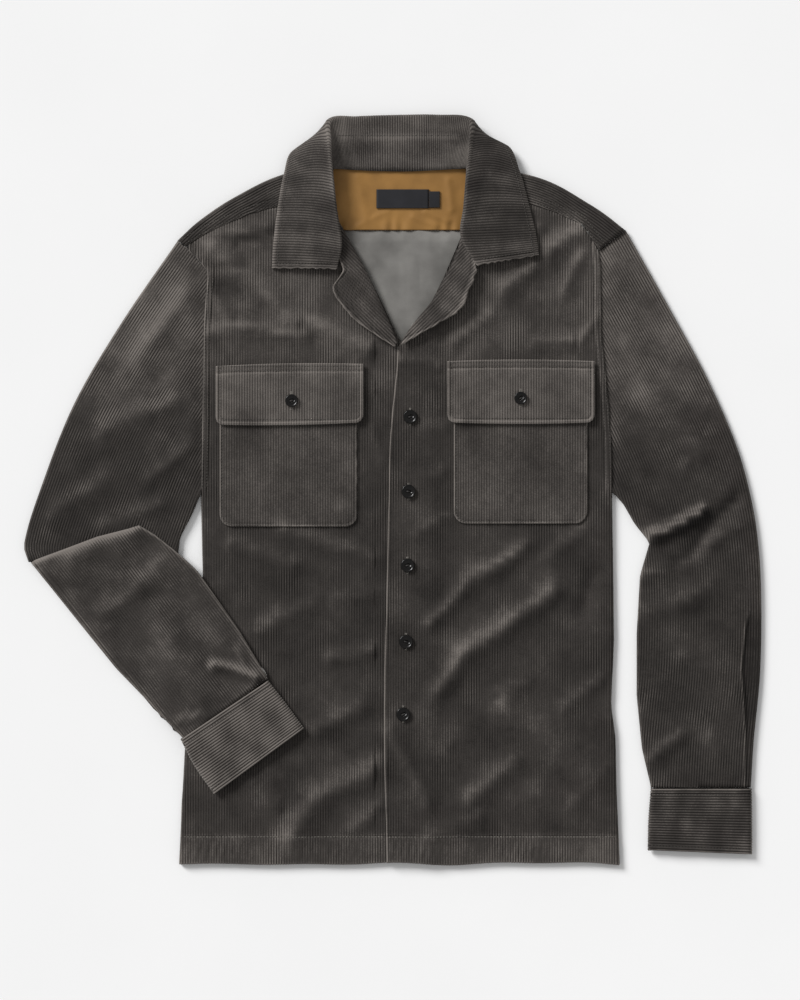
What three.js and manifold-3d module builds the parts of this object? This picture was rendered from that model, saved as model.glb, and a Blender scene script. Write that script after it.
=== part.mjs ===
// A corduroy overshirt laid on its back on a surface, its fronts buttoned, its camp collar open
// and one forearm folded in over the body. Millimetres, +X to the right of the view from above,
// +Y towards the collar, +Z up from the surface.
import * as THREE from "three";
import { mergeVertices } from "three/addons/utils/BufferGeometryUtils.js";
import Module from "manifold-3d";

const wasm = await Module();
wasm.setup();

// Cloth thicknesses and the gaps between pieces.
const CLOTH = 1.5;
const LINING = 1.0;
const COLLAR = 2.6;
const CUFF = 2.4;
const FLAP = 2.4;
const LAPEL = 2.8;
const SEAM = 0.3;
const ARMHOLE_SEAM = 0.6;
const LEAST_GAP = 0.4;

// Heights of the outer faces above the surface, before the creases are added.
const FRONT_TOP = 5.4;
const PLACKET_LIFT = 1.9;
const YOKE_TOP = 6.2;
const SLEEVE_TOP = 5.2;
const FOREARM_DEPTH = 5.4;
const CUFF_DEPTH = 7;
const LOWEST_TOP = 3.6;

// The roundings: of a front's outer side, of its armhole edge and of a lapel's fold.
const SIDE_STEP = 0.8;
const SIDE_ROUND = FRONT_TOP - CLOTH - SIDE_STEP;
const ARMHOLE_ROUND = 2;
const LAPEL_ROLL = 1.2;
const LAPEL_ROLL_SHARE = 0.12;

// Distances over which a height eases in: from an edge, and above an armpit.
const EDGE_EASE = 14;
const ARMPIT_EASE = 20;
const LEAST_TUBE_HEIGHT = CLOTH * 2 + 0.3;

// The long straight lines of the body.
const HEM_Y = -389.7;
const YOKE_SEAM_Y = 268.4;
const LEVEL_ROWS_TOP_Y = 134;
const BACK_LEVEL_TOP_Y = 200;
const UNDERLAP_X = 28;
const LINING_TOP_Y = 328;

// Where the upper front lies on the lower one, which lifts it.
const OVERLAP = { fromX: -20, toX: UNDERLAP_X + 26, fadeX: 18, topY: 180, fadeY: 16 };

// The seam of the yoke and the back, which falls towards both armholes.
const YOKE_SEAM = [
  { x: -215.8, y: 249.6, share: 0 },
  { x: -167.6, y: YOKE_SEAM_Y, share: 0.1213 },
  { x: 165.1, y: YOKE_SEAM_Y, share: 0.8368 },
  { x: 219.6, y: 251.4, share: 1 },
];

// How finely each form is divided, and the slope that counts as level when a wall gets its depth.
const NEARLY_LEVEL = 0.92;
const ROUND_STEPS = 3;
const ROW_STEP = 24;
const FRONT_WIDTH = 235;
const FRONT_COLUMNS = 10;
const LEAST_SHARE = 0.022;
const EDGE_SHARE = 0.05;
const PATCH_ROW_CLEARANCE = 3;
const PATCH_COLUMN_CLEARANCE = 1;

// Shares of the way up from the level rows to the yoke, with a row at each turn of the armhole.
const RIGHT_RISES = [0.155, 0.31, 0.47, 0.6235, 0.78, 0.918, 1];
const LEFT_RISES = [0.138, 0.277, 0.43, 0.59, 0.75, 0.92, 1];
const BACK_RISES = [0.135, 0.504, 0.718, 0.827, 0.895, 1];

// Shares across a sleeve from its inner to its outer fold, with a place at each turn of the armhole.
const RIGHT_SLEEVE_SHARES = [0.14, 0.3, 0.46, 0.64, 0.8162, 0.8866, 0.9489];
const LEFT_SLEEVE_SHARES = [0.14, 0.29, 0.45, 0.6254, 0.76, 0.8956, 0.9292];

const MATERIALS = {
  corduroy: { color: 0x3d3a37, roughness: 0.95 },
  cuff_corduroy: { color: 0x46423e, roughness: 0.95 },
  inside: { color: 0x74726f, roughness: 0.9 },
  lining: { color: 0x86643a, roughness: 0.6 },
  label: { color: 0x1b1b1f, roughness: 0.8 },
  button: { color: 0x141312, roughness: 0.25 },
};

// The body's two side edges, from the hem up over the armpits to the shoulder points.
const LEFT_EDGE = [
  { y: -389.7, x: -222.8 },
  { y: -334, x: -220.5 },
  { y: -271, x: -217 },
  { y: -92, x: -198.3 },
  { y: -6.5, x: -200.4 },
  { y: 76.7, x: -198.3 },
  { y: 170, x: -197.3 },
  { y: 206.7, x: -194.6 },
  { y: 225, x: -192.8 },
  { y: 241, x: -206.5 },
  { y: 257.7, x: -224.3 },
];
const RIGHT_EDGE = [
  { y: -389.7, x: 235 },
  { y: -310, x: 231.6 },
  { y: -256, x: 230.4 },
  { y: -226, x: 226 },
  { y: -157, x: 229 },
  { y: -4.4, x: 227 },
  { y: 57, x: 225.7 },
  { y: 103, x: 221.8 },
  { y: 165, x: 215.6 },
  { y: 236.9, x: 214.6 },
  { y: 246, x: 212.7 },
  { y: 268, x: 241.2 },
];
const LEFT_ARMPIT_Y = -6.5;
const RIGHT_ARMPIT_Y = -4.4;

// The front edge of the upper front, a little off the vertical.
const PLACKET_EDGE = [
  { y: -389.7, x: -7.3 },
  { y: -230, x: -10 },
  { y: -75, x: -6.6 },
  { y: 50, x: -3.8 },
  { y: 146, x: 4.2 },
  { y: 330, x: 8 },
];

// The top edge of each front: up the V of the neck, then along the yoke seam.
const FRONT_RIGHT_TOP = [
  { x: -217, y: 250.6 },
  { x: -203.2, y: 259.4 },
  { x: -190, y: 267.4 },
  { x: -150.2, y: 284.7 },
  { x: -123, y: 292 },
  { x: -76, y: 310 },
  { x: -56, y: 276 },
  { x: -33, y: 235 },
  { x: -17, y: 203 },
  { x: 6.6, y: 152.6 },
  { x: 28, y: 144 },
];
const FRONT_LEFT_TOP = [
  { x: 4, y: 146 },
  { x: 19, y: 169.5 },
  { x: 38.8, y: 193.4 },
  { x: 51.7, y: 219.2 },
  { x: 66, y: 252 },
  { x: 88, y: 308 },
  { x: 140.4, y: 295.7 },
  { x: 167.5, y: 287 },
  { x: 192.7, y: 275.3 },
  { x: 205, y: 260 },
  { x: 212.4, y: 245.9 },
];

// The shoulder folds and the front yoke seams, from the neck out to the shoulder points.
const SHOULDER_RIGHT = [
  { outX: -66, outY: 334.5, inX: -79, inY: 311.2 },
  { outX: -117.2, outY: 326.3, inX: -123, inY: 292.3 },
  { outX: -168.8, outY: 301.3, inX: -150.2, inY: 285 },
  { outX: -203.2, outY: 278, inX: -190, inY: 267.7 },
  { outX: -224.6, outY: 258.4, inX: -216.4, inY: 251.6 },
];
const SHOULDER_LEFT = [
  { outX: 78, outY: 336, inX: 91, inY: 308 },
  { outX: 133.7, outY: 328, inX: 140.4, inY: 296 },
  { outX: 166.3, outY: 317.6, inX: 167.5, inY: 287.3 },
  { outX: 203.4, outY: 296.3, inX: 192.7, inY: 275.6 },
  { outX: 220, outY: 285.4, inX: 205, inY: 260.4 },
  { outX: 241.2, outY: 268.6, inX: 213.6, inY: 247.3 },
];

// How far the yoke turns under behind its fold, and how far its plate stays inside that fold.
const YOKE_TUCK = 16;
const YOKE_PLATE_INSET = { x: 1.2, y: 3.6 };

// Creases of the cloth. Each runs straight between two places, a ridge or, below nought, a hollow.
const FRONT_CREASES = [
  { x1: -185, y1: 250, x2: -97, y2: 176, width: 12, height: 3.2 },
  { x1: -97, y1: 176, x2: -27, y2: 147, width: 10, height: 3 },
  { x1: -176, y1: 203, x2: -118, y2: 186, width: 12, height: -1.5 },
  { x1: -186, y1: 162, x2: -90, y2: 160, width: 8, height: 2 },
  { x1: -170, y1: -57, x2: -105, y2: -81, width: 9, height: 2 },
  { x1: -109, y1: -44, x2: -14, y2: -74, width: 10, height: 2.6 },
  { x1: -63, y1: -176, x2: -16, y2: -168, width: 9, height: 1.8 },
  { x1: -77, y1: -250, x2: -35, y2: -227, width: 11, height: 2.2 },
  { x1: -108, y1: -362, x2: -72, y2: -318, width: 15, height: 3.2 },
  { x1: -72, y1: -318, x2: -14, y2: -290, width: 13, height: 3 },
  { x1: 194, y1: 268, x2: 166, y2: 244, width: 11, height: 2.6 },
  { x1: 146, y1: 226, x2: 118, y2: 206, width: 11, height: 2.4 },
  { x1: 146, y1: 148, x2: 186, y2: 150, width: 8, height: 1.8 },
  { x1: 139, y1: -62, x2: 76, y2: -102, width: 10, height: 2.6 },
  { x1: 76, y1: -102, x2: 38, y2: -140, width: 9, height: 2.2 },
  { x1: 166, y1: -108, x2: 76, y2: -171, width: 13, height: 3.8 },
  { x1: 76, y1: -171, x2: 48, y2: -212, width: 11, height: 3 },
  { x1: 206, y1: -88, x2: 196, y2: -128, width: 13, height: -1.6 },
  { x1: 118, y1: -227, x2: 210, y2: -300, width: 17, height: 3 },
  { x1: 80, y1: -322, x2: 128, y2: -286, width: 12, height: 2.4 },
];
const LEFT_SLEEVE_CREASES = [
  { x1: 270, y1: -51, x2: 318, y2: -26, width: 8, height: 4.2 },
  { x1: 358, y1: -14, x2: 286, y2: -86, width: 11, height: -1.4 },
  { x1: 262, y1: 96, x2: 320, y2: 40, width: 16, height: 2.2 },
  { x1: 272, y1: -130, x2: 330, y2: -100, width: 14, height: 1.8 },
  { x1: 268, y1: -285, x2: 300, y2: -255, width: 9, height: 2 },
];
const RIGHT_SLEEVE_CREASES = [
  { x1: -215, y1: 200, x2: -262, y2: 130, width: 15, height: 2.4 },
  { x1: -230, y1: 90, x2: -300, y2: 60, width: 16, height: 2.2 },
];
const FOREARM_CREASES = [
  { x1: -180, y1: -188, x2: -142, y2: -196, width: 6, height: 2.6 },
  { x1: -268, y1: -46, x2: -330, y2: -72, width: 12, height: 2.4 },
  { x1: -226, y1: -160, x2: -196, y2: -212, width: 14, height: 1.4 },
];
const NO_CREASES = [];

// The outline of each sleeve from its cuff seam up to the armhole, as a chord across the tube for
// each row, and the pleat that runs up from the left cuff.
const LEFT_SLEEVE = [
  { inX: 267.5, inY: -310.4, outX: 371, outY: -310.4 },
  { inX: 258, inY: -270, outX: 374, outY: -262 },
  { inX: 252.5, inY: -215, outX: 380.4, outY: -196 },
  { inX: 252.6, inY: -150, outX: 382, outY: -128 },
  { inX: 256, inY: -90, outX: 379.8, outY: -68.7 },
  { inX: 266, inY: -56, outX: 373, outY: -18 },
  { inX: 250, inY: -36, outX: 357, outY: 42 },
  { inX: 239.3, inY: -17, outX: 325, outY: 116 },
  { inX: 232, inY: -8, outX: 285, outY: 190 },
  { inX: 227.4, inY: -4.4, outX: 241.6, outY: 267.4 },
];
const RIGHT_UPPER_SLEEVE = [
  { inX: -226, inY: -90, outX: -379.4, outY: -76 },
  { inX: -222, inY: -51, outX: -384, outY: -58 },
  { inX: -210, inY: -28, outX: -366.8, outY: 0 },
  { inX: -205.6, inY: -18, outX: -332, outY: 88 },
  { inX: -202.4, inY: -10, outX: -283, outY: 172 },
  { inX: -200.8, inY: -6.5, outX: -224.8, outY: 256.8 },
];
const RIGHT_FOREARM = [
  { inX: -131, inY: -197.6, outX: -220.6, outY: -258.6 },
  { inX: -142, inY: -181, outX: -232, outY: -250 },
  { inX: -165.8, inY: -137, outX: -262, outY: -219 },
  { inX: -196, inY: -95, outX: -289, outY: -187 },
  { inX: -228, inY: -62, outX: -320, outY: -151 },
  { inX: -265.3, inY: -37.8, outX: -345, outY: -122 },
  { inX: -318, inY: -53, outX: -364, outY: -98 },
  { inX: -374, inY: -73.4, outX: -377.6, outY: -80 },
];
const PLEAT = [
  { y: -311, inset: 6 },
  { y: -256, inset: 8.6 },
  { y: -187.5, inset: 19.5 },
  { y: -142, inset: 16.5 },
  { y: -116, inset: 8.3 },
];
const PLEAT_DROP = 2.2;
const PLEAT_FADE = 30;
const PLEAT_STEP = 3;

// The share of a sleeve's length above which its end follows the armhole.
const ARMHOLE_SHARE = 0.8;

// What the folded forearm lies on: from where the body and the upper sleeve carry it, and where it
// comes down to the elbow. Each fades in over a distance.
const FOREARM_SEAT = {
  body: { x: -264, fade: 36 },
  sleeve: { leftY: -76, rightY: -98, fromX: -377, width: 150, margin: 26, fade: 24 },
  elbow: { x: -379, fade: 22 },
};

// Cuffs: the seam side and the open side of each, as chords across the band.
const LEFT_CUFF = [
  { inX: 263.8, inY: -375.6, outX: 372.4, outY: -380 },
  { inX: 264.4, inY: -345, outX: 372.4, outY: -347 },
  { inX: 267, inY: -311, outX: 372, outY: -311 },
];
const RIGHT_CUFF = [
  { inX: -92.6, inY: -248.6, outX: -186, outY: -317 },
  { inX: -112, inY: -222, outX: -207, outY: -287 },
  { inX: -130.4, inY: -198.4, outX: -221.1, outY: -259.5 },
];

// The collar, a folded band from the front end on the left of the view, round the back of the neck,
// to the other front end. Each row holds three numbers for its foot at the neck seam, three for its
// roll, three for the middle of its leaf, three for the leaf's edge, and the fold's radius.
const COLLAR_SECTIONS = [
  [-76, 231, 7.4, -58.6, 228.2, 9.6, -94, 228, 11.2, -126.4, 228, 7.9, 1.7],
  [-72, 258, 7.4, -53.4, 252.5, 13.4, -86, 258, 13.4, -124.6, 258, 7.6, 2.6],
  [-76, 296, 7.6, -58.6, 291.4, 17, -84, 300, 16, -119.4, 298, 7.8, 3.2],
  [-70, 322, 8, -63, 332.5, 19.4, -86, 340, 15.4, -113.6, 328, 8.6, 3.4],
  [-63, 331, 7.4, -65, 361, 18, -88, 364, 12, -106, 350, 6, 3.6],
  [-56, 331.6, 6.6, -66, 383, 12, -77, 371, 5.6, -88, 352, 2.6, 3.6],
  [-36, 330.6, 5.4, -38, 386.6, 7.4, -38, 370, 2.1, -40, 345, 1.8, 3.2],
  [6, 329.4, 4.8, 6, 388.2, 6.2, 6, 370, 1.8, 6, 345, 1.8, 3],
  [46, 330.8, 5.4, 46, 388.2, 7.4, 48, 370, 2.1, 50, 345, 1.8, 3.2],
  [69, 332, 6.6, 80, 383, 12, 91, 372, 5.6, 100, 354, 2.6, 3.6],
  [75, 331.6, 7.4, 78.4, 361, 18, 100, 366, 12, 119, 356, 6, 3.6],
  [82, 322, 8, 75.4, 332.5, 19.8, 100, 342, 16, 130.6, 330, 9, 3.4],
  [88, 296, 7.6, 72, 291.4, 18.6, 102, 298, 17, 140, 296, 8.4, 3.2],
  [86, 262, 7.4, 69.4, 260, 16, 104, 260, 15.6, 147.6, 264, 9.4, 2.8],
  [99, 236.4, 7.6, 86, 231.6, 12, 116, 235.4, 14.4, 150.6, 241.6, 9.8, 1.8],
];

// The turned-back lapels, from the collar down to the foot of the V: the fold at the neck's inside
// and the outer rim, with the height of each above the front below it.
const RIGHT_LAPEL = [
  { foldX: 4, foldY: 152, rimX: 1.4, rimY: 146.6, rimLift: 0.35 },
  { foldX: -6, foldY: 177, rimX: -24.9, rimY: 163.5, rimLift: 0.6 },
  { foldX: -18, foldY: 204, rimX: -44.8, rimY: 179.5, rimLift: 0.8 },
  { foldX: -28, foldY: 225, rimX: -63.2, rimY: 207.5, rimLift: 1.2 },
  { foldX: -33, foldY: 234, rimX: -58, rimY: 223.4, rimLift: 0.6 },
];
const LEFT_LAPEL = [
  { foldX: 9, foldY: 154, rimX: 8, rimY: 148.6, rimLift: 1.2 },
  { foldX: 20, foldY: 171, rimX: 46.7, rimY: 171, rimLift: 5.4 },
  { foldX: 40, foldY: 195.4, rimX: 69, rimY: 185, rimLift: 7 },
  { foldX: 50, foldY: 215, rimX: 77.6, rimY: 203, rimLift: 6.4 },
  { foldX: 56, foldY: 229, rimX: 84.6, rimY: 223, rimLift: 3 },
];

// Patch pockets, their flaps and the buttons.
const POCKETS = [
  { side: "right", left: -180.6, right: -37.6, bottom: -39.4, top: 98 },
  { side: "left", left: 62.4, right: 201, bottom: -36.4, top: 98 },
];
const POCKET_CORNER = 13;
const FLAPS = [
  { side: "right", left: -184.6, right: -31.4, bottom: 67.4, top: 128.4 },
  { side: "left", left: 55.6, right: 208.4, bottom: 68.6, top: 132.4 },
];
const FLAP_CORNER = 8;
const FLAP_SINK_Y = { from: 113, to: 126 };

// Fish-eye buttons. Each has an eye-shaped hollow with two holes, turned by some degrees.
const FRONT_BUTTONS = [
  { x: 17.1, y: 74.7, turn: 18 },
  { x: 15.4, y: -2.9, turn: -6 },
  { x: 14.4, y: -79.5, turn: 12 },
  { x: 12.8, y: -158.7, turn: -14 },
  { x: 9.9, y: -233.9, turn: 24 },
];
const FLAP_BUTTONS = [
  { side: "right", x: -105.8, y: 91.3, turn: 16 },
  { side: "left", x: 131.6, y: 93.9, turn: 32 },
];
const FRONT_BUTTON_RADIUS = 7.2;
const FLAP_BUTTON_RADIUS = 6.7;
const BUTTON_THICKNESS = 2.9;
const BUTTON_FACE = 0.76;
const BUTTON_EYE = { length: 0.58, width: 0.28, depth: 0.42 };
const BUTTON_HOLE = { radius: 0.6, offset: 0.25 };

// The yoke lining, as far as it shows, and the woven labels on it, both bare.
const LINING_PATCH = { left: -58, right: 70, bottom: YOKE_SEAM_Y + SEAM, top: LINING_TOP_Y };
const LABELS = [
  { name: "label", left: -17.9, right: 36.6, bottom: 291.4, top: 310.9 },
  { name: "size_tab", left: 37, right: 47.9, bottom: 292, top: 308.8 },
];

const mix = (a, b, t) => a + (b - a) * t;
const smooth = (t) => {
  const s = Math.min(1, Math.max(0, t));
  return s * s * (3 - 2 * s);
};
const steps = (count) => Array.from({ length: count + 1 }, (unused, i) => i / count);

// Reads one column of a table between its rows, by a smooth curve that keeps to the rows' values.
function read(table, by, place, column) {
  const last = table.length - 1;
  let i = 0;
  while (i < last - 1 && place > table[i + 1][by]) i += 1;
  const slope = (k) => {
    const a = Math.max(0, k - 1);
    const b = Math.min(last, k + 1);
    return (table[b][column] - table[a][column]) / (table[b][by] - table[a][by]);
  };
  const span = table[i + 1][by] - table[i][by];
  const t = Math.min(1, Math.max(0, (place - table[i][by]) / span));
  const bend = (t - 1) * (t - 1) * t * slope(i) + (t - 1) * t * t * slope(i + 1);
  return mix(table[i][column], table[i + 1][column], smooth(t)) + bend * span;
}

// The same, straight from row to row.
function readStraight(table, by, place, column) {
  let i = 0;
  while (i < table.length - 2 && place > table[i + 1][by]) i += 1;
  const t = (place - table[i][by]) / (table[i + 1][by] - table[i][by]);
  return mix(table[i][column], table[i + 1][column], Math.min(1, Math.max(0, t)));
}

// Gives each row of a table its share of the way along, by the distance between two columns.
function measured(table, columnX, columnY) {
  let along = 0;
  const rows = table.map((row, i) => {
    const before = table[Math.max(0, i - 1)];
    along += Math.hypot(row[columnX] - before[columnX], row[columnY] - before[columnY]);
    return { ...row, along };
  });
  return rows.map((row) => ({ ...row, along: row.along / along }));
}

function creaseHeight(creases, x, y) {
  let height = 0;
  for (const c of creases) {
    const runX = c.x2 - c.x1;
    const runY = c.y2 - c.y1;
    const share = ((x - c.x1) * runX + (y - c.y1) * runY) / (runX * runX + runY * runY);
    const t = Math.min(1, Math.max(0, share));
    const off = Math.hypot(x - c.x1 - t * runX, y - c.y1 - t * runY) / c.width;
    height += c.height * Math.exp(-off * off);
  }
  return height;
}

// The height of the outer face of the fronts at any place, edges not counted.
function frontTop(x, y) {
  const acrossLap = x > OVERLAP.fromX ? smooth((OVERLAP.toX - x) / OVERLAP.fadeX) : 0;
  const overlap = acrossLap * smooth((OVERLAP.topY - y) / OVERLAP.fadeY);
  return FRONT_TOP + overlap * PLACKET_LIFT + creaseHeight(FRONT_CREASES, x, y);
}

// The height of a grid of level rows at any place.
function heightOn(grid, x, y) {
  let j = 0;
  while (j < grid.length - 2 && y > grid[j + 1][0].y) j += 1;
  const along = (row) => {
    let i = 0;
    while (i < row.length - 2 && x > row[i + 1].x) i += 1;
    const share = (x - row[i].x) / Math.max(1e-6, row[i + 1].x - row[i].x);
    return mix(row[i].z, row[i + 1].z, Math.min(1, Math.max(0, share)));
  };
  const share = (y - grid[j][0].y) / (grid[j + 1][0].y - grid[j][0].y);
  return mix(along(grid[j]), along(grid[j + 1]), share);
}

// A wall of cloth from a grid of places, rows from the bottom up and columns from left to right.
// It reaches the given distances above and below the grid along the grid's own normals.
function wallGeometry(grid, above, below, isTube = false) {
  const rows = grid.length;
  const columns = grid[0].length;
  const wrap = (i) => (isTube ? (i + columns) % columns : Math.min(columns - 1, Math.max(0, i)));
  const clampRow = (j) => Math.min(rows - 1, Math.max(0, j));
  const positions = [];
  const normal = new THREE.Vector3();
  const across = new THREE.Vector3();
  const along = new THREE.Vector3();
  for (const layer of [above, -below]) {
    for (let j = 0; j < rows; j += 1) {
      for (let i = 0; i < columns; i += 1) {
        across.subVectors(grid[j][wrap(i + 1)], grid[j][wrap(i - 1)]);
        along.subVectors(grid[clampRow(j + 1)][i], grid[clampRow(j - 1)][i]);
        normal.crossVectors(across, along).normalize();
        if (normal.z > NEARLY_LEVEL) normal.set(0, 0, 1);
        if (normal.z < -NEARLY_LEVEL) normal.set(0, 0, -1);
        normal.multiplyScalar(layer).add(grid[j][i]);
        positions.push(normal.x, normal.y, normal.z);
      }
    }
  }
  const under = rows * columns;
  const index = [];
  const quad = (a, b, c, d) => index.push(a, b, c, a, c, d);
  const cells = isTube ? columns : columns - 1;
  for (let j = 0; j < rows - 1; j += 1) {
    for (let i = 0; i < cells; i += 1) {
      const a = j * columns + i;
      const b = j * columns + wrap(i + 1);
      quad(a, b, b + columns, a + columns);
      quad(under + b, under + a, under + a + columns, under + b + columns);
    }
  }
  const top = (rows - 1) * columns;
  for (let i = 0; i < cells; i += 1) {
    const next = wrap(i + 1);
    quad(under + i, under + next, next, i);
    quad(top + i, top + next, under + top + next, under + top + i);
  }
  for (let j = 0; j < rows - 1 && !isTube; j += 1) {
    const a = j * columns;
    const b = a + columns - 1;
    quad(under + a, a, a + columns, under + a + columns);
    quad(b, under + b, under + b + columns, b + columns);
  }
  const geometry = new THREE.BufferGeometry();
  geometry.setAttribute("position", new THREE.Float32BufferAttribute(positions, 3));
  geometry.setIndex(index);
  return geometry;
}

function toSolid(geometry) {
  const bare = geometry.clone();
  bare.deleteAttribute("normal");
  bare.deleteAttribute("uv");
  const merged = mergeVertices(bare, 1e-4);
  return new wasm.Manifold(
    new wasm.Mesh({
      numProp: 3,
      vertProperties: merged.attributes.position.array,
      triVerts: new Uint32Array(merged.index.array),
    }),
  );
}

function toGeometry(solid) {
  const mesh = solid.getMesh();
  const geometry = new THREE.BufferGeometry();
  geometry.setAttribute("position", new THREE.BufferAttribute(mesh.vertProperties, mesh.numProp));
  geometry.setIndex(new THREE.BufferAttribute(mesh.triVerts, 1));
  return geometry;
}

const shirt = new THREE.Group();

function addPiece(name, geometry, material) {
  geometry.computeVertexNormals();
  const mesh = new THREE.Mesh(geometry, new THREE.MeshStandardMaterial(MATERIALS[material]));
  mesh.name = name;
  shirt.add(mesh);
}

// Shares across a panel of the given width whose left or right edge is rounded with a radius.
function roundedShares(count, width, leftRadius, rightRadius) {
  const turns = steps(ROUND_STEPS).map((t) => 1 - Math.cos((t * Math.PI) / 2));
  const left = leftRadius ? turns.map((t) => (t * leftRadius) / width) : [0];
  const right = rightRadius ? turns.map((t) => 1 - (t * rightRadius) / width).reverse() : [1];
  const from = left[left.length - 1];
  const to = right[0];
  const inner = steps(count).slice(1, -1).map((t) => mix(from, to, t));
  return [...left, ...inner, ...right];
}

const roundDrop = (distance, radius) => {
  if (distance >= radius) return 0;
  const left = radius - Math.max(0, distance);
  return radius - Math.sqrt(radius * radius - left * left);
};

// A front panel, from the hem up to its top edge, its outer edge rolled down to the back panel.
function frontGrid({ leftEdge, rightEdge, topEdge, rises, outerIsLeft, armpitY }) {
  const levelCount = Math.round((LEVEL_ROWS_TOP_Y - HEM_Y) / ROW_STEP);
  const levelRows = steps(levelCount).map((level) => ({ level, rise: 0 }));
  const upperRows = rises.map((rise) => ({ level: 1, rise }));
  const radii = outerIsLeft ? [SIDE_ROUND, 0] : [0, SIDE_ROUND];
  const corners = topEdge.map((p) => (p.x - topEdge[0].x) / (topEdge.at(-1).x - topEdge[0].x));
  const isInner = (u) => u > EDGE_SHARE && u < 1 - EDGE_SHARE;
  const even = roundedShares(FRONT_COLUMNS, FRONT_WIDTH, ...radii);
  const kept = even.filter((u) => {
    const near = corners.slice(1, -1).some((c) => Math.abs(c - u) < LEAST_SHARE);
    return !isInner(u) || !near;
  });
  const shares = [...new Set([...kept, ...corners.filter(isInner)])];
  shares.sort((a, b) => a - b);
  return [...levelRows, ...upperRows].map(({ level, rise }) =>
    shares.map((u) => {
      const topX = mix(topEdge[0].x, topEdge.at(-1).x, u);
      const levelY = mix(HEM_Y, LEVEL_ROWS_TOP_Y, level);
      const y = mix(levelY, readStraight(topEdge, "x", topX, "y"), rise);
      const left = leftEdge(Math.min(y, topEdge[0].y));
      const right = rightEdge(Math.min(y, topEdge.at(-1).y));
      const x = mix(left, right, u);
      const radius = mix(SIDE_ROUND, ARMHOLE_ROUND, smooth((y - armpitY) / ARMPIT_EASE));
      const distance = (outerIsLeft ? u : 1 - u) * (right - left);
      const height = Math.max(LOWEST_TOP, frontTop(x, y));
      const ease = smooth(1 - distance / EDGE_EASE);
      const drop = roundDrop(distance, radius) + (height - FRONT_TOP) * ease;
      return new THREE.Vector3(x, y, height - drop);
    }),
  );
}

const fronts = {};

function addFronts() {
  const under = frontGrid({
    leftEdge: (y) => readStraight(LEFT_EDGE, "y", y, "x"),
    rightEdge: () => UNDERLAP_X,
    topEdge: FRONT_RIGHT_TOP,
    rises: RIGHT_RISES,
    outerIsLeft: true,
    armpitY: LEFT_ARMPIT_Y,
  });
  for (const row of under) {
    for (const p of row) {
      if (p.x > OVERLAP.fromX) p.z = Math.min(p.z, FRONT_TOP);
    }
  }
  fronts.right = under;
  addPiece("front_right", wallGeometry(under, 0, CLOTH), "corduroy");
  const upper = frontGrid({
    leftEdge: (y) => read(PLACKET_EDGE, "y", y, "x"),
    rightEdge: (y) => readStraight(RIGHT_EDGE, "y", y, "x"),
    topEdge: FRONT_LEFT_TOP,
    rises: LEFT_RISES,
    outerIsLeft: false,
    armpitY: RIGHT_ARMPIT_Y,
  });
  fronts.left = upper;
  addPiece("front_left", wallGeometry(upper, 0, CLOTH), "corduroy");
}

function addBack() {
  const shares = [0, YOKE_SEAM[1].share, 0.25, 0.38, 0.5, 0.62, 0.74, YOKE_SEAM[2].share, 1];
  const levelRows = steps(17).map((level) => ({ level, rise: 0 }));
  const upperRows = BACK_RISES.map((rise) => ({ level: 1, rise }));
  const grid = [...levelRows, ...upperRows].map(({ level, rise }) =>
    shares.map((u) => {
      const levelY = mix(HEM_Y, BACK_LEVEL_TOP_Y, level);
      const y = mix(levelY, readStraight(YOKE_SEAM, "share", u, "y"), rise);
      const left = readStraight(LEFT_EDGE, "y", y, "x");
      const right = readStraight(RIGHT_EDGE, "y", y, "x");
      return new THREE.Vector3(mix(left, right, u), y, CLOTH);
    }),
  );
  addPiece("back", wallGeometry(grid, 0, CLOTH), "inside");
}

// The yoke: a flat plate behind the neck, and a strap over each shoulder that is folded along it.
function yokeStrap(table, outerIsLeft) {
  const rows = measured(table, "outX", "outY");
  const radius = YOKE_TOP / 2;
  const turns = steps(4).map((t) => (t - 0.5) * Math.PI);
  const ends = rows.map((row) => row.along);
  const middles = ends.slice(1).map((along, i) => (along + ends[i]) / 2);
  const places = [...ends, ...middles].sort((a, b) => (outerIsLeft ? b - a : a - b));
  const columns = places.map((t) => {
    const out = [read(rows, "along", t, "outX"), read(rows, "along", t, "outY")];
    const seam = [readStraight(rows, "along", t, "inX"), readStraight(rows, "along", t, "inY")];
    const reach = Math.hypot(seam[0] - out[0], seam[1] - out[1]);
    const at = (distance, z) =>
      new THREE.Vector3(
        mix(out[0], seam[0], distance / reach),
        mix(out[1], seam[1], distance / reach),
        z,
      );
    const least = Math.max(reach, radius + 1);
    const inside = steps(3).map((s) => {
      const height = mix(FRONT_TOP, YOKE_TOP, smooth(s * 2));
      return at(mix(least, radius, s), height);
    });
    const fold = turns.map((a) =>
      at(radius - radius * Math.cos(a), radius - radius * Math.sin(a)),
    );
    const tucked = at(Math.min(YOKE_TUCK, least), 0);
    tucked.y = Math.max(tucked.y, readStraight(YOKE_SEAM, "x", tucked.x, "y") + SEAM);
    return [...inside.slice(0, -1), ...fold, tucked];
  });
  return columns[0].map((unused, j) => columns.map((column) => column[j]));
}

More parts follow.
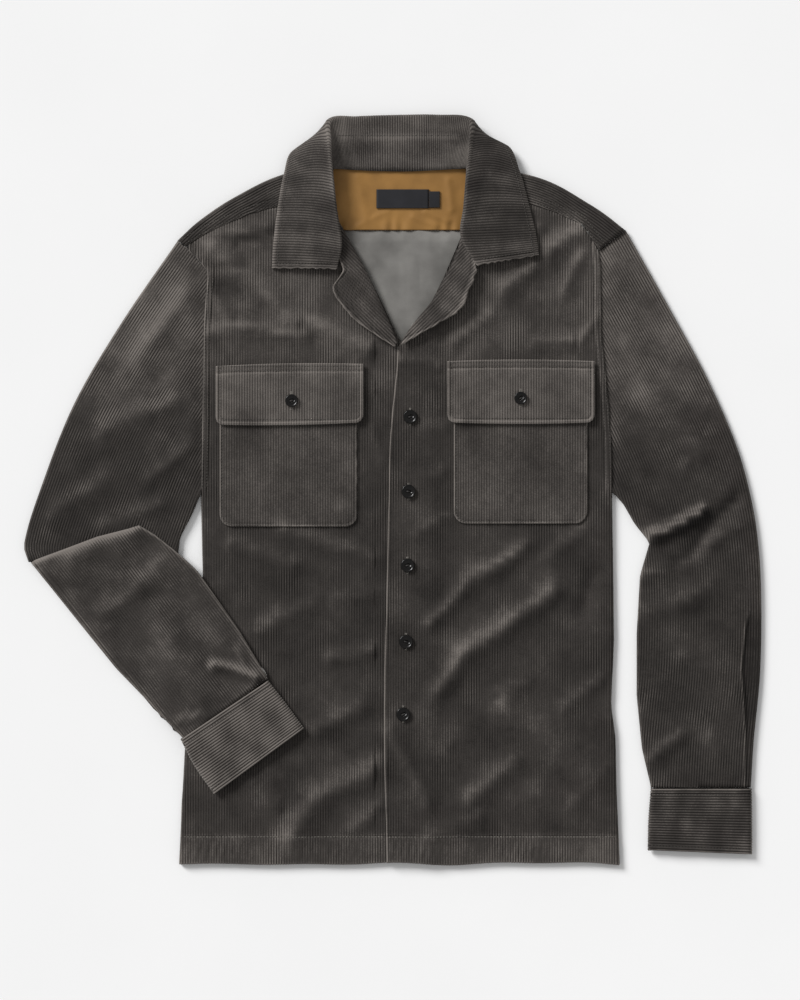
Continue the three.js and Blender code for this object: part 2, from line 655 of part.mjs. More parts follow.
function addYoke() {
  const inset = (row, sign) => ({
    x: row.outX + sign * YOKE_PLATE_INSET.x,
    y: row.outY - YOKE_PLATE_INSET.y,
  });
  const outline = [
    { x: -220.6, y: 256.2, low: 255 },
    ...SHOULDER_RIGHT.slice(0, -1).reverse().map((row) => inset(row, 1)),
    { x: -15.8, y: 330.6 },
    { x: 35.7, y: 332 },
    ...SHOULDER_LEFT.slice(0, -1).map((row) => inset(row, -1)),
    { x: 235, y: 266, low: 264.4 },
  ];
  const grid = steps(3).map((v) =>
    outline.map(({ x, y, low }) => {
      const from = low ?? readStraight(YOKE_SEAM, "x", x, "y") + SEAM;
      return new THREE.Vector3(x, mix(from, y, v), CLOTH);
    }),
  );
  const plate = toSolid(wallGeometry(grid, 0, CLOTH));
  const straps = [yokeStrap(SHOULDER_RIGHT, true), yokeStrap(SHOULDER_LEFT, false)];
  const whole = straps
    .map((strap) => toSolid(wallGeometry(strap, 0, CLOTH)))
    .reduce((made, strap) => made.add(strap), plate);
  addPiece("yoke", toGeometry(whole), "corduroy");
}

function flatPatch({ left, right, bottom, top }, z, thickness, columns, rows) {
  const grid = steps(rows).map((v) =>
    steps(columns).map((u) => new THREE.Vector3(mix(left, right, u), mix(bottom, top, v), z)),
  );
  return wallGeometry(grid, 0, thickness);
}

function addLining() {
  const z = CLOTH + SEAM + LINING;
  addPiece("yoke_lining", flatPatch(LINING_PATCH, z, LINING, 6, 3), "lining");
  for (const label of LABELS) {
    addPiece(label.name, flatPatch(label, z + SEAM + LINING, LINING, 2, 1), "label");
  }
}

// A flat tube of cloth. Each row of its table is a chord from the tube's inner to its outer edge.
// The tube lies on base(x, y) and is as deep as given, with its creases on top.
function tubeGrid(table, options) {
  const { base, depth, creases, rowCount, shares, outerIsLeft, shape, hasPleat } = options;
  const rows = measured(table, "outX", "outY");
  const radius = depth / 2;
  const turns = steps(4).map((t) => (t - 0.5) * Math.PI);
  return steps(rowCount).map((v) => {
    const inner = new THREE.Vector2(read(rows, "along", v, "inX"), read(rows, "along", v, "inY"));
    const outer = new THREE.Vector2(read(rows, "along", v, "outX"), read(rows, "along", v, "outY"));
    const left = outerIsLeft ? outer : inner;
    const right = outerIsLeft ? inner : outer;
    const width = left.distanceTo(right);
    const place = (distance, lift, isTop) => {
      const u = distance / width;
      const bow = shape ? shape(u, v) : 0;
      const x = mix(left.x, right.x, u) + bow;
      const y = mix(left.y, right.y, u);
      const edge = smooth(Math.min(distance, width - distance) / EDGE_EASE);
      const crease = isTop ? edge * creaseHeight(creases, x, y) : 0;
      const step = isTop && hasPleat ? pleatDrop(width - distance, y) : 0;
      const height = Math.max(lift + crease - step, LEAST_TUBE_HEIGHT);
      return new THREE.Vector3(x, y, base(x, y) + height);
    };
    const side = (x0, sign) =>
      turns.map((a) => {
        const x = x0 + sign * radius * Math.cos(a);
        const centre = new THREE.Vector3().copy(place(x, depth, false));
        centre.z += radius * Math.sin(a) - radius;
        return centre;
      });
    const across = shares.map((share) => {
      const fromLeft = outerIsLeft ? 1 - share : share;
      return mix(radius, width - radius, fromLeft);
    });
    if (outerIsLeft) across.reverse();
    const top = across.map((d) => place(d, depth, true));
    const bottom = across
      .map((d) => {
        const p = place(d, depth, false);
        p.z -= depth;
        return p;
      })
      .reverse();
    return [...side(radius, -1), ...top, ...side(width - radius, 1).reverse(), ...bottom];
  });
}

// The edge of the pleat beside the outer fold of the left sleeve.
function pleatDrop(fromOuter, y) {
  if (y > PLEAT.at(-1).y || y < PLEAT[0].y) return 0;
  const inset = readStraight(PLEAT, "y", y, "inset");
  const fade = smooth((PLEAT.at(-1).y - y) / PLEAT_FADE);
  return PLEAT_DROP * fade * smooth((inset - fromOuter) / PLEAT_STEP);
}

// How far the armhole bows sideways from the straight chord at the top of a sleeve.
function armholeBow(edgeTable, table, outerIsLeft) {
  const last = table.at(-1);
  return (u, v) => {
    const t = outerIsLeft ? 1 - u : u;
    const y = mix(last.inY, last.outY, t);
    const seam = outerIsLeft ? -ARMHOLE_SEAM : ARMHOLE_SEAM;
    const bow = readStraight(edgeTable, "y", y, "x") + seam - mix(last.inX, last.outX, t);
    return bow * smooth((v - ARMHOLE_SHARE) / (1 - ARMHOLE_SHARE));
  };
}

const onSurface = () => 0;

// The height that the folded forearm lies at: on the fronts, the upper sleeve, or the surface.
function forearmBase(x, y) {
  const { body, sleeve, elbow } = FOREARM_SEAT;
  const onBody = smooth((x - body.x) / body.fade);
  const sleeveEnd = mix(sleeve.leftY, sleeve.rightY, smooth((x - sleeve.fromX) / sleeve.width));
  const onSleeve = smooth((y - sleeveEnd + sleeve.margin) / sleeve.fade);
  const bodyTop = FRONT_TOP + Math.max(0, creaseHeight(FRONT_CREASES, x, y));
  const fromElbow = smooth((x - elbow.x) / elbow.fade);
  const clear = LEAST_GAP + SEAM;
  return fromElbow * Math.max(onBody * (bodyTop + clear), onSleeve * (SLEEVE_TOP + clear));
}

function addSleeves() {
  const left = tubeGrid(LEFT_SLEEVE, {
    base: onSurface,
    depth: SLEEVE_TOP,
    creases: LEFT_SLEEVE_CREASES,
    rowCount: 22,
    shares: LEFT_SLEEVE_SHARES,
    outerIsLeft: false,
    shape: armholeBow(RIGHT_EDGE, LEFT_SLEEVE, false),
    hasPleat: true,
  });
  addPiece("sleeve_left", wallGeometry(left, 0, CLOTH, true), "corduroy");
  const upper = tubeGrid(RIGHT_UPPER_SLEEVE, {
    base: onSurface,
    depth: SLEEVE_TOP,
    creases: RIGHT_SLEEVE_CREASES,
    rowCount: 13,
    shares: RIGHT_SLEEVE_SHARES,
    outerIsLeft: true,
    shape: armholeBow(LEFT_EDGE, RIGHT_UPPER_SLEEVE, true),
  });
  const forearm = tubeGrid(RIGHT_FOREARM, {
    base: forearmBase,
    depth: FOREARM_DEPTH,
    creases: FOREARM_CREASES,
    rowCount: 13,
    shares: RIGHT_SLEEVE_SHARES,
    outerIsLeft: true,
  });
  const right = toSolid(wallGeometry(upper, 0, CLOTH, true)).add(
    toSolid(wallGeometry(forearm, 0, CLOTH, true)),
  );
  const bodies = right.decompose().sort((a, b) => b.volume() - a.volume());
  addPiece("sleeve_right", toGeometry(bodies[0]), "corduroy");
}

function addCuffs() {
  const shared = {
    depth: CUFF_DEPTH,
    creases: NO_CREASES,
    rowCount: 4,
    shares: steps(7).slice(1, -1),
  };
  const left = tubeGrid(LEFT_CUFF, { ...shared, base: onSurface, outerIsLeft: false });
  addPiece("cuff_left", wallGeometry(left, 0, CUFF, true), "cuff_corduroy");
  const right = tubeGrid(RIGHT_CUFF, { ...shared, base: forearmBase, outerIsLeft: true });
  addPiece("cuff_right", wallGeometry(right, 0, CUFF, true), "cuff_corduroy");
}

// The collar's section at one place: up the leaf to the roll and down the stand to the foot.
function collarColumn(numbers) {
  const place = (from) => new THREE.Vector3(...numbers.slice(from, from + 3));
  const [foot, roll, leaf, edge] = [0, 3, 6, 9].map(place);
  const turn = numbers.at(-1);
  const toFoot = foot.clone().sub(roll).normalize();
  const toLeaf = leaf.clone().sub(roll).normalize();
  const out = toFoot.clone().add(toLeaf).normalize().negate();
  const aside = toFoot.sub(toLeaf);
  aside.addScaledVector(out, -aside.dot(out)).normalize();
  const centre = roll.clone().addScaledVector(out, -turn);
  const fold = steps(5).map((t) => {
    const a = (t - 0.5) * Math.PI;
    return centre
      .clone()
      .addScaledVector(out, turn * Math.cos(a))
      .addScaledVector(aside, turn * Math.sin(a));
  });
  const leafCurve = new THREE.QuadraticBezierCurve3(edge, leaf, fold[0]);
  const standCurve = new THREE.LineCurve3(fold.at(-1), foot);
  return [
    ...steps(4).slice(0, -1).map((t) => leafCurve.getPoint(t)),
    ...fold,
    ...steps(3).slice(1).map((t) => standCurve.getPoint(t)),
  ];
}

function addCollar() {
  const rows = COLLAR_SECTIONS.map((numbers, at) => [at, ...numbers]);
  const last = rows.length - 1;
  const grid = steps(last * 2).map((t) => {
    const numbers = COLLAR_SECTIONS[0].map((unused, k) => read(rows, 0, t * last, k + 1));
    return collarColumn(numbers);
  });
  addPiece("collar", wallGeometry(grid, COLLAR / 2, COLLAR / 2), "corduroy");
}

// A lapel: the doubled edge of a front, folded back over it.
function lapelGrid(table, foldIsLeft) {
  const rows = measured(table, "rimX", "rimY");
  const shares = [0, 0.04, 0.12, 0.3, 0.5, 0.7, 0.9, 1];
  return steps(9).map((v) => {
    const column = (name) => read(rows, "along", v, name);
    const places = shares.map((u) => {
      const x = mix(column("foldX"), column("rimX"), u);
      const y = mix(column("foldY"), column("rimY"), u);
      const curl = column("rimLift") * smooth(u);
      const roll = LAPEL_ROLL * (1 - smooth(u / LAPEL_ROLL_SHARE));
      const lift = SEAM + LEAST_GAP + LAPEL + curl - roll;
      return new THREE.Vector3(x, y, Math.max(FRONT_TOP, frontTop(x, y)) + lift);
    });
    return foldIsLeft ? places : places.reverse();
  });
}

function addLapels() {
  const wall = LAPEL - LAPEL_ROLL;
  addPiece("facing_right", wallGeometry(lapelGrid(RIGHT_LAPEL, false), 0, wall), "corduroy");
  addPiece("facing_left", wallGeometry(lapelGrid(LEFT_LAPEL, true), 0, wall), "corduroy");
}

// A patch with rounded lower corners, made from the front's own places, moved out by a lift.
function patchGrid(front, { left, right, bottom, top }, corner, lift) {
  const turns = steps(3).map((t) => bottom + corner * (1 - Math.cos((t * Math.PI) / 2)));
  const levels = front
    .map((row) => row[0].y)
    .filter((y) => y > bottom + corner + PATCH_ROW_CLEARANCE && y < top - PATCH_ROW_CLEARANCE);
  const middle = heightRow(front, (bottom + top) / 2);
  const margin = corner + PATCH_COLUMN_CLEARANCE;
  const inner = middle.filter((p) => p.x > left + margin && p.x < right - margin);
  return [...turns, ...levels, top].map((y) => {
    const rise = Math.min(corner, y - bottom);
    const inset = corner - Math.sqrt(corner * corner - (corner - rise) ** 2);
    const row = heightRow(front, y);
    const own = inner.map((p) => row[middle.indexOf(p)].x);
    const places = [left + inset, left + corner, ...own, right - corner, right - inset];
    return places.map((x) => new THREE.Vector3(x, y, heightOn(front, x, y) + lift(y)));
  });
}

// The places of a level row at any height up a front.
function heightRow(front, y) {
  const j = Math.max(0, front.findIndex((row) => row[0].y > y) - 1);
  const t = (y - front[j][0].y) / (front[j + 1][0].y - front[j][0].y);
  return front[j].map((p, i) => p.clone().lerp(front[j + 1][i], t));
}

const pocketLift = () => LEAST_GAP + CLOTH;
const flapLift = (y) => {
  const overPocket = 1 - smooth((y - FLAP_SINK_Y.from) / (FLAP_SINK_Y.to - FLAP_SINK_Y.from));
  return LEAST_GAP + FLAP + overPocket * pocketLift();
};

function addPockets() {
  for (const pocket of POCKETS) {
    const grid = patchGrid(fronts[pocket.side], pocket, POCKET_CORNER, pocketLift);
    addPiece(`pocket_${pocket.side}`, wallGeometry(grid, 0, CLOTH), "corduroy");
  }
  for (const flap of FLAPS) {
    const grid = patchGrid(fronts[flap.side], flap, FLAP_CORNER, flapLift);
    addPiece(`flap_${flap.side}`, wallGeometry(grid, 0, FLAP), "corduroy");
  }
}

// A button with a rim round its face, an eye-shaped hollow in it, and two holes in the hollow.
function buttonGeometry(radius, turn) {
  const rim = BUTTON_THICKNESS;
  const profile = [
    [0, 0],
    [0.8, 0],
    [1, 0.45],
    [0.92, 1],
    [0.8, 0.94],
    [0.68, BUTTON_FACE],
    [0, BUTTON_FACE],
  ].map(([out, up]) => new THREE.Vector2(out * radius, up * rim));
  const body = new THREE.LatheGeometry(profile, 14).rotateX(Math.PI / 2);
  const eye = new THREE.SphereGeometry(1, 10, 4).rotateX(Math.PI / 2);
  eye.scale(BUTTON_EYE.length * radius, BUTTON_EYE.width * radius, BUTTON_EYE.depth * rim);
  eye.translate(0, 0, BUTTON_FACE * rim);
  let solid = toSolid(body).subtract(toSolid(eye));
  for (const sign of [1, -1]) {
    const hole = new THREE.CylinderGeometry(BUTTON_HOLE.radius, BUTTON_HOLE.radius, rim * 3, 6);
    hole.rotateX(Math.PI / 2).translate(sign * BUTTON_HOLE.offset * radius, 0, 0);
    solid = solid.subtract(toSolid(hole));
  }
  return toGeometry(solid).rotateZ(THREE.MathUtils.degToRad(turn));
}

// The highest place of a face under a button, so that the button sits clear of it.
function seatHeight(height, x, y, radius) {
  const around = steps(8).map((t) => {
    const a = t * 2 * Math.PI;
    return height(x + radius * Math.cos(a), y + radius * Math.sin(a));
  });
  return Math.max(height(x, y), ...around);
}

function addButtons() {
  FRONT_BUTTONS.forEach(({ x, y, turn }, i) => {
    const height = (px, py) => heightOn(fronts.left, px, py);
    const z = seatHeight(height, x, y, FRONT_BUTTON_RADIUS) + LEAST_GAP;
    const geometry = buttonGeometry(FRONT_BUTTON_RADIUS, turn).translate(x, y, z);
    addPiece(`button_front_${i + 1}`, geometry, "button");
  });
  for (const { side, x, y, turn } of FLAP_BUTTONS) {
    const height = (px, py) => heightOn(fronts[side], px, py) + flapLift(py);
    const z = seatHeight(height, x, y, FLAP_BUTTON_RADIUS) + LEAST_GAP;
    const geometry = buttonGeometry(FLAP_BUTTON_RADIUS, turn).translate(x, y, z);
    addPiece(`button_flap_${side}`, geometry, "button");
  }
}

addBack();
addYoke();
addLining();
addFronts();
addLapels();
addCollar();
addSleeves();
addCuffs();
addPockets();
addButtons();

export default shirt;
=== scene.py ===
# %% [markdown]
# # A corduroy overshirt, buttoned and laid flat on its back
# The garment is cut from panels of corduroy, a cotton cloth whose pile stands in parallel
# ridges called wales. Each panel here is one sheet: a grid of points is laid over the panel's
# place in the shirt, given the wall thickness of the cloth, and its wales are raised as real
# relief. A bump map alone would look printed on from close by, and a cloth simulation of so thin
# and flat a garment moves it less than its seams do, so its folds are listed one by one instead.

import math

import bmesh
import bpy
import numpy as np
from mathutils import Matrix, Vector
from mathutils.bvhtree import BVHTree


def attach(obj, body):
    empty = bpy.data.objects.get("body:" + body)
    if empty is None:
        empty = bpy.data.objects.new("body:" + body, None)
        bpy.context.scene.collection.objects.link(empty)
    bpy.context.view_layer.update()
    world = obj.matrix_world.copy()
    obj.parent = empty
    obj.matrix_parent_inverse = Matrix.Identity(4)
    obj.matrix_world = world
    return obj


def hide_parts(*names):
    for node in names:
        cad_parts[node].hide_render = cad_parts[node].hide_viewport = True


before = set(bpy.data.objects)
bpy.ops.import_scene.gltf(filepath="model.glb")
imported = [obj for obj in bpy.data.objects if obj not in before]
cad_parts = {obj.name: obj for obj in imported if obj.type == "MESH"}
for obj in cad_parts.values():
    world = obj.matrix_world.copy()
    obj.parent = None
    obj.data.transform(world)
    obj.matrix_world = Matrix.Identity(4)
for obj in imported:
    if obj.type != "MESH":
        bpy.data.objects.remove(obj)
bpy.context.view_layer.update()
MM = 0.001
print("frame of", len(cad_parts), "pieces")

# %% [markdown]
# ## Lines of the garment
# The tables give the seams and edges in millimetres on the surface, X to the right and Y towards
# the collar. They are the same lines that the solids of the part are made from, so that each
# detailed sheet lies in its own solid's place.

# %% Outline of the body, and heights above the surface
CLOTH, LINING, COLLAR, CUFF, FLAP, LAPEL = 1.5, 1.0, 2.6, 2.4, 2.4, 2.8
SEAM, LEAST_GAP = 0.3, 0.4
FRONT_TOP, PLACKET_LIFT, YOKE_TOP, SLEEVE_TOP = 5.4, 1.9, 6.2, 5.2
FOREARM_DEPTH, CUFF_DEPTH, LOWEST_TOP = 5.4, 7.0, 3.6
HEM_Y, YOKE_SEAM_Y, UNDERLAP_X, LINING_TOP_Y = -389.7, 268.4, 28.0, 328.0
LEFT_ARMPIT_Y, RIGHT_ARMPIT_Y = -6.5, -4.4
LAP_X = -20.0  # to the right of this line the two fronts lie over each other

# Each row is (y, x), from the hem up.
LEFT_EDGE = [(-389.7, -222.8), (-334, -220.5), (-271, -217), (-92, -198.3), (-6.5, -200.4),
             (76.7, -198.3), (170, -197.3), (206.7, -194.6), (225, -192.8), (241, -206.5),
             (257.7, -224.3)]
RIGHT_EDGE = [(-389.7, 235), (-310, 231.6), (-256, 230.4), (-226, 226), (-157, 229),
              (-4.4, 227), (57, 225.7), (103, 221.8), (165, 215.6), (236.9, 214.6),
              (246, 212.7), (268, 241.2)]
PLACKET_EDGE = [(-389.7, -7.3), (-230, -10), (-75, -6.6), (50, -3.8), (146, 4.2), (330, 8)]
# Each row is (x, y), up the V of the neck and along the yoke seam.
FRONT_RIGHT_TOP = [(-217, 250.6), (-203.2, 259.4), (-190, 267.4), (-150.2, 284.7),
                   (-123, 292), (-76, 310), (-56, 276), (-33, 235), (-17, 203),
                   (6.6, 152.6), (28, 144)]
FRONT_LEFT_TOP = [(4, 146), (19, 169.5), (38.8, 193.4), (51.7, 219.2), (66, 252), (88, 308),
                  (140.4, 295.7), (167.5, 287), (192.7, 275.3), (205, 260), (212.4, 245.9)]
YOKE_SEAM = [(-215.8, 249.6), (-167.6, YOKE_SEAM_Y), (165.1, YOKE_SEAM_Y), (219.6, 251.4)]
# Shoulder fold and yoke seam, as (out x, out y, in x, in y) from the neck to the shoulder.
SHOULDER_RIGHT = [(-66, 334.5, -79, 311.2), (-117.2, 326.3, -123, 292.3),
                  (-168.8, 301.3, -150.2, 285), (-203.2, 278, -190, 267.7),
                  (-224.6, 258.4, -216.4, 251.6)]
SHOULDER_LEFT = [(78, 336, 91, 308), (133.7, 328, 140.4, 296), (166.3, 317.6, 167.5, 287.3),
                 (203.4, 296.3, 192.7, 275.6), (220, 285.4, 205, 260.4),
                 (241.2, 268.6, 213.6, 247.3)]
print("body", round(RIGHT_EDGE[0][1] - LEFT_EDGE[0][1]), "mm wide at the hem")

# %% Sleeves, cuffs, collar and lapels
# Chords across the flat tube, as (in x, in y, out x, out y), from the cuff up to the armhole.
LEFT_SLEEVE = [(267.5, -310.4, 371, -310.4), (258, -270, 374, -262), (252.5, -215, 380.4, -196),
               (252.6, -150, 382, -128), (256, -90, 379.8, -68.7), (266, -56, 373, -18),
               (250, -36, 357, 42), (239.3, -17, 325, 116), (232, -8, 285, 190),
               (227.4, -4.4, 241.6, 267.4)]
RIGHT_UPPER_SLEEVE = [(-226, -90, -379.4, -76), (-222, -51, -384, -58), (-210, -28, -366.8, 0),
                      (-205.6, -18, -332, 88), (-202.4, -10, -283, 172),
                      (-200.8, -6.5, -224.8, 256.8)]
LEFT_CUFF = [(263.8, -375.6, 372.4, -380), (264.4, -345, 372.4, -347), (267, -311, 372, -311)]
RIGHT_CUFF = [(-92.6, -248.6, -186, -317), (-112, -222, -207, -287),
              (-130.4, -198.4, -221.1, -259.5)]
PLEAT = [(-311, 6), (-256, 8.6), (-187.5, 19.5), (-142, 16.5), (-116, 8.3)]
PLEAT_DROP = 2.2
CUFF_HEIGHT = 65.0
# Collar sections from one front end round the neck to the other: foot, roll, leaf and edge, as
# points (x, y, z), and the radius of the fold at the roll.
COLLAR_SECTIONS = [
    (-76, 231, 7.4, -58.6, 228.2, 9.6, -94, 228, 11.2, -126.4, 228, 7.9, 1.7),
    (-72, 258, 7.4, -53.4, 252.5, 13.4, -86, 258, 13.4, -124.6, 258, 7.6, 2.6),
    (-76, 296, 7.6, -58.6, 291.4, 17, -84, 300, 16, -119.4, 298, 7.8, 3.2),
    (-70, 322, 8, -63, 332.5, 19.4, -86, 340, 15.4, -113.6, 328, 8.6, 3.4),
    (-63, 331, 7.4, -65, 361, 18, -88, 364, 12, -106, 350, 6, 3.6),
    (-56, 331.6, 6.6, -66, 383, 12, -77, 371, 5.6, -88, 352, 2.6, 3.6),
    (-36, 330.6, 5.4, -38, 386.6, 7.4, -38, 370, 2.1, -40, 345, 1.8, 3.2),
    (6, 329.4, 4.8, 6, 388.2, 6.2, 6, 370, 1.8, 6, 345, 1.8, 3),
    (46, 330.8, 5.4, 46, 388.2, 7.4, 48, 370, 2.1, 50, 345, 1.8, 3.2),
    (69, 332, 6.6, 80, 383, 12, 91, 372, 5.6, 100, 354, 2.6, 3.6),
    (75, 331.6, 7.4, 78.4, 361, 18, 100, 366, 12, 119, 356, 6, 3.6),
    (82, 322, 8, 75.4, 332.5, 19.8, 100, 342, 16, 130.6, 330, 9, 3.4),
    (88, 296, 7.6, 72, 291.4, 18.6, 102, 298, 17, 140, 296, 8.4, 3.2),
    (86, 262, 7.4, 69.4, 260, 16, 104, 260, 15.6, 147.6, 264, 9.4, 2.8),
    (99, 236.4, 7.6, 86, 231.6, 12, 116, 235.4, 14.4, 150.6, 241.6, 9.8, 1.8),
]
# Lapels from the foot of the V to the collar: (fold x, fold y, rim x, rim y, lift of the rim).
RIGHT_LAPEL = [(4, 152, 1.4, 146.6, 0.35), (-6, 177, -24.9, 163.5, 0.6),
               (-18, 204, -44.8, 179.5, 0.8), (-28, 225, -63.2, 207.5, 1.2),
               (-32.5, 234, -53, 226, 0.9), (-43.5, 254, -60, 246, -0.6), (-57, 278, -66, 274, -1.4)]
LEFT_LAPEL = [(9, 154, 8, 148.6, 1.2), (20, 171, 46.7, 171, 5.4), (40, 195.4, 69, 185, 7),
              (50, 213, 77.6, 203, 6.4), (58.5, 229, 85.8, 225, 4.2), (64.5, 242, 86, 239, 1.2),
                              (71.5, 268, 90, 266, -1)]
print(len(COLLAR_SECTIONS), "sections of the collar")

# %% Pockets, flaps, buttons and labels
# Boxes are (left, right, bottom, top).
POCKETS = {"right": (-180.6, -37.6, -39.4, 98), "left": (62.4, 201, -36.4, 98)}
FLAPS = {"right": (-184.6, -31.4, 67.4, 128.4), "left": (55.6, 208.4, 68.6, 132.4)}
POCKET_CORNER, FLAP_CORNER = 13.0, 8.0
FLAP_SINK_Y = (113, 126)
# Each button is (x, y, turn of its eye in degrees).
FRONT_BUTTONS = [(17.1, 74.7, 18), (15.4, -2.9, -6), (14.4, -79.5, 12), (12.8, -158.7, -14),
                 (9.9, -233.9, 24)]
FLAP_BUTTONS = {"right": (-105.8, 91.3, 16), "left": (131.6, 93.9, 32)}
FRONT_BUTTON_RADIUS, FLAP_BUTTON_RADIUS, BUTTON_THICKNESS = 7.2, 6.7, 2.9
LABELS = {"label": (-17.9, 36.6, 291.4, 310.9), "size_tab": (37, 47.9, 292, 308.8)}
print(len(FRONT_BUTTONS), "front buttons and", len(FLAP_BUTTONS), "flap buttons")

# %% [markdown]
# ## Folds
# The shirt was pressed, packed and laid down by hand. Its folds are long, soft and uneven: broad
# ones slant from the armholes to the buttons, sharper ones cross the elbows, and small ones
# gather at the seams. Each is one row here, so its place, width and height can be changed alone.

# %% Folds of the fronts
# Rows are (x1, y1, x2, y2, width, height): a ridge, or with a negative height a hollow.
FRONT_FOLDS = [
    (-185, 250, -97, 176, 12, 4.2), (-97, 176, -27, 147, 10, 3.6), (-176, 203, -118, 186, 12, -2),
    (-186, 162, -90, 160, 8, 2), (-170, -57, -105, -81, 9, 2), (-109, -44, -14, -74, 10, 2.6),
    (-63, -176, -16, -168, 9, 1.8), (-77, -250, -35, -227, 11, 2.2),
    (-108, -362, -72, -318, 15, 3.2), (-72, -318, -14, -290, 13, 3),
    (194, 268, 166, 244, 11, 2.6), (146, 226, 118, 206, 11, 2.4), (146, 148, 186, 150, 8, 1.8),
    (139, -62, 76, -102, 10, 2.6), (76, -102, 38, -140, 9, 2.2), (166, -108, 76, -171, 13, 3.8),
    (76, -171, 48, -212, 11, 3), (206, -88, 196, -128, 13, -1.6), (118, -227, 210, -300, 17, 3),
    (80, -322, 128, -286, 12, 2.4),
]
# Smaller folds, which the solids leave out.
SMALL_FOLDS = [
    (-180, 269, -132, 268, 7, 1.3), (-160, 258, -120, 262, 6, -1.1), (-192, 205, -170, 170, 7, 1.4),
    (-188, 225, -150, 232, 7, -1.2), (-60, 162, -22, 150, 5, 1.2), (-139, -148, -84, -124, 10, 1.4),
    (-190, -110, -150, -150, 11, 1.2), (-180, -210, -140, -246, 12, 1.2),
    (-150, -300, -120, -330, 11, 1.4), (-60, -120, -20, -112, 8, 1.1), (-50, -20, -16, -32, 7, 0.9),
    (-20, 60, -14, 20, 6, 0.8), (-36, 130, -14, 100, 6, 1.0), (14, 134, 49, 126, 6, 1.4),
    (20, 64, 69, 64, 6, 1.1), (200, -40, 166, -74, 9, 1.5), (104, -216, 139, -206, 9, 1.6),
    (0, -254, 36, -324, 10, 1.7), (200, 240, 180, 205, 7, 1.3), (214, 180, 196, 150, 7, 1.1),
    (150, 268, 118, 250, 8, 1.1), (100, 180, 60, 150, 8, 1.2), (216, -200, 180, -230, 9, 1.5),
    (60, -30, 30, -50, 8, 1.0), (50, 20, 24, 10, 7, 0.9), (222, -290, 190, -330, 10, 1.3),
    (150, -320, 190, -352, 12, 1.3), (44, -360, 90, -340, 11, 1.1), (-40, -352, -12, -330, 9, 1.2),
    (-205, -292, -170, -312, 10, 1.3), (-206, -352, -160, -366, 9, 1.0), (30, -240, 60, -262, 8, 1.1),
]
ALL_FRONT_FOLDS = FRONT_FOLDS + SMALL_FOLDS
print(len(ALL_FRONT_FOLDS), "folds on the fronts")

# %% Folds of the sleeves
LEFT_SLEEVE_FOLDS = [
    (268, -54, 322, -24, 6.5, 6.6), (360, -12, 292, -80, 9, -1.9), (262, 96, 320, 40, 16, 2.2),
    (272, -130, 330, -100, 14, 1.8), (268, -285, 300, -255, 9, 2),
    (232, 60, 262, 20, 9, 1.4), (240, 150, 268, 96, 10, 1.2), (300, 20, 340, 60, 9, 1.1),
    (262, -92, 300, -80, 7, 1.4), (330, -60, 368, -40, 8, 1.4), (300, -180, 350, -210, 12, 1.2),
    (264, -230, 292, -250, 9, 1.1), (330, -260, 352, -300, 8, 1.1),
]
RIGHT_SLEEVE_FOLDS = [
    (-215, 200, -262, 130, 15, 2.4), (-230, 90, -300, 60, 16, 2.2), (-214, 40, -250, 10, 10, 1.4),
    (-300, 10, -350, -30, 12, 1.5), (-240, -20, -300, -40, 10, 1.3), (-250, 170, -276, 120, 8, 1.1),
]
FOREARM_FOLDS = [
    (-182, -188, -140, -197, 6, 3.6), (-268, -46, -330, -72, 12, 2.4),
    (-226, -160, -196, -212, 14, 1.4), (-240, -80, -300, -130, 13, 1.4),
    (-204, -120, -176, -160, 8, 1.0), (-300, -150, -330, -116, 9, 1.1),
    (-196, -230, -224, -240, 6, 1.2), (-160, -172, -150, -190, 5, 1.0),
]
print(len(LEFT_SLEEVE_FOLDS + RIGHT_SLEEVE_FOLDS + FOREARM_FOLDS), "folds on the sleeves")


# %% Curves
def mix(a, b, t):
    return a + (b - a) * t


def smooth(t):
    t = np.clip(t, 0, 1)
    return t * t * (3 - 2 * t)


def soft_least(value, limit, width):
    """The smaller of the two, easing into the limit over about the given width."""
    return limit - width * np.logaddexp(0, (limit - value) / width)


def straight(table, at):
    """A table's second column at the given values of its first, in straight steps."""
    rows = np.array(table, float)
    return np.interp(at, rows[:, 0], rows[:, 1])


def flowing(keys, values, at):
    """A smooth curve through the values at the given keys."""
    keys, values = np.asarray(keys, float), np.asarray(values, float)
    inner = (values[2:] - values[:-2]) / (keys[2:] - keys[:-2])
    ends = np.diff(values) / np.diff(keys)
    slope = np.concatenate([ends[:1], inner, ends[-1:]])
    i = np.clip(np.searchsorted(keys, at, side="right") - 1, 0, len(keys) - 2)
    span = keys[i + 1] - keys[i]
    t = np.clip((at - keys[i]) / span, 0, 1)
    bend = t * (t - 1) ** 2 * slope[i] + (t - 1) * t * t * slope[i + 1]
    return mix(values[i], values[i + 1], smooth(t)) + bend * span


def shares_along(table, x_column, y_column):
    """How far along its own line each row of a table lies, from 0 to 1."""
    rows = np.array(table, float)
    step = np.hypot(np.diff(rows[:, x_column]), np.diff(rows[:, y_column]))
    along = np.concatenate([[0], np.cumsum(step)])
    return along / along[-1]


print("halfway between 0 and 2 by a smooth step:", float(mix(0, 2, smooth(0.5))))


# %% Unevenness, and folds as functions of place
UNREST_WAVES = 8
FOLD_WANDER, WANDER_SIZE = 3.5, 95
FOLD_SHARE, UNEVEN_SHARE, UNEVEN_SIZE = 0.9, 0.22, 70


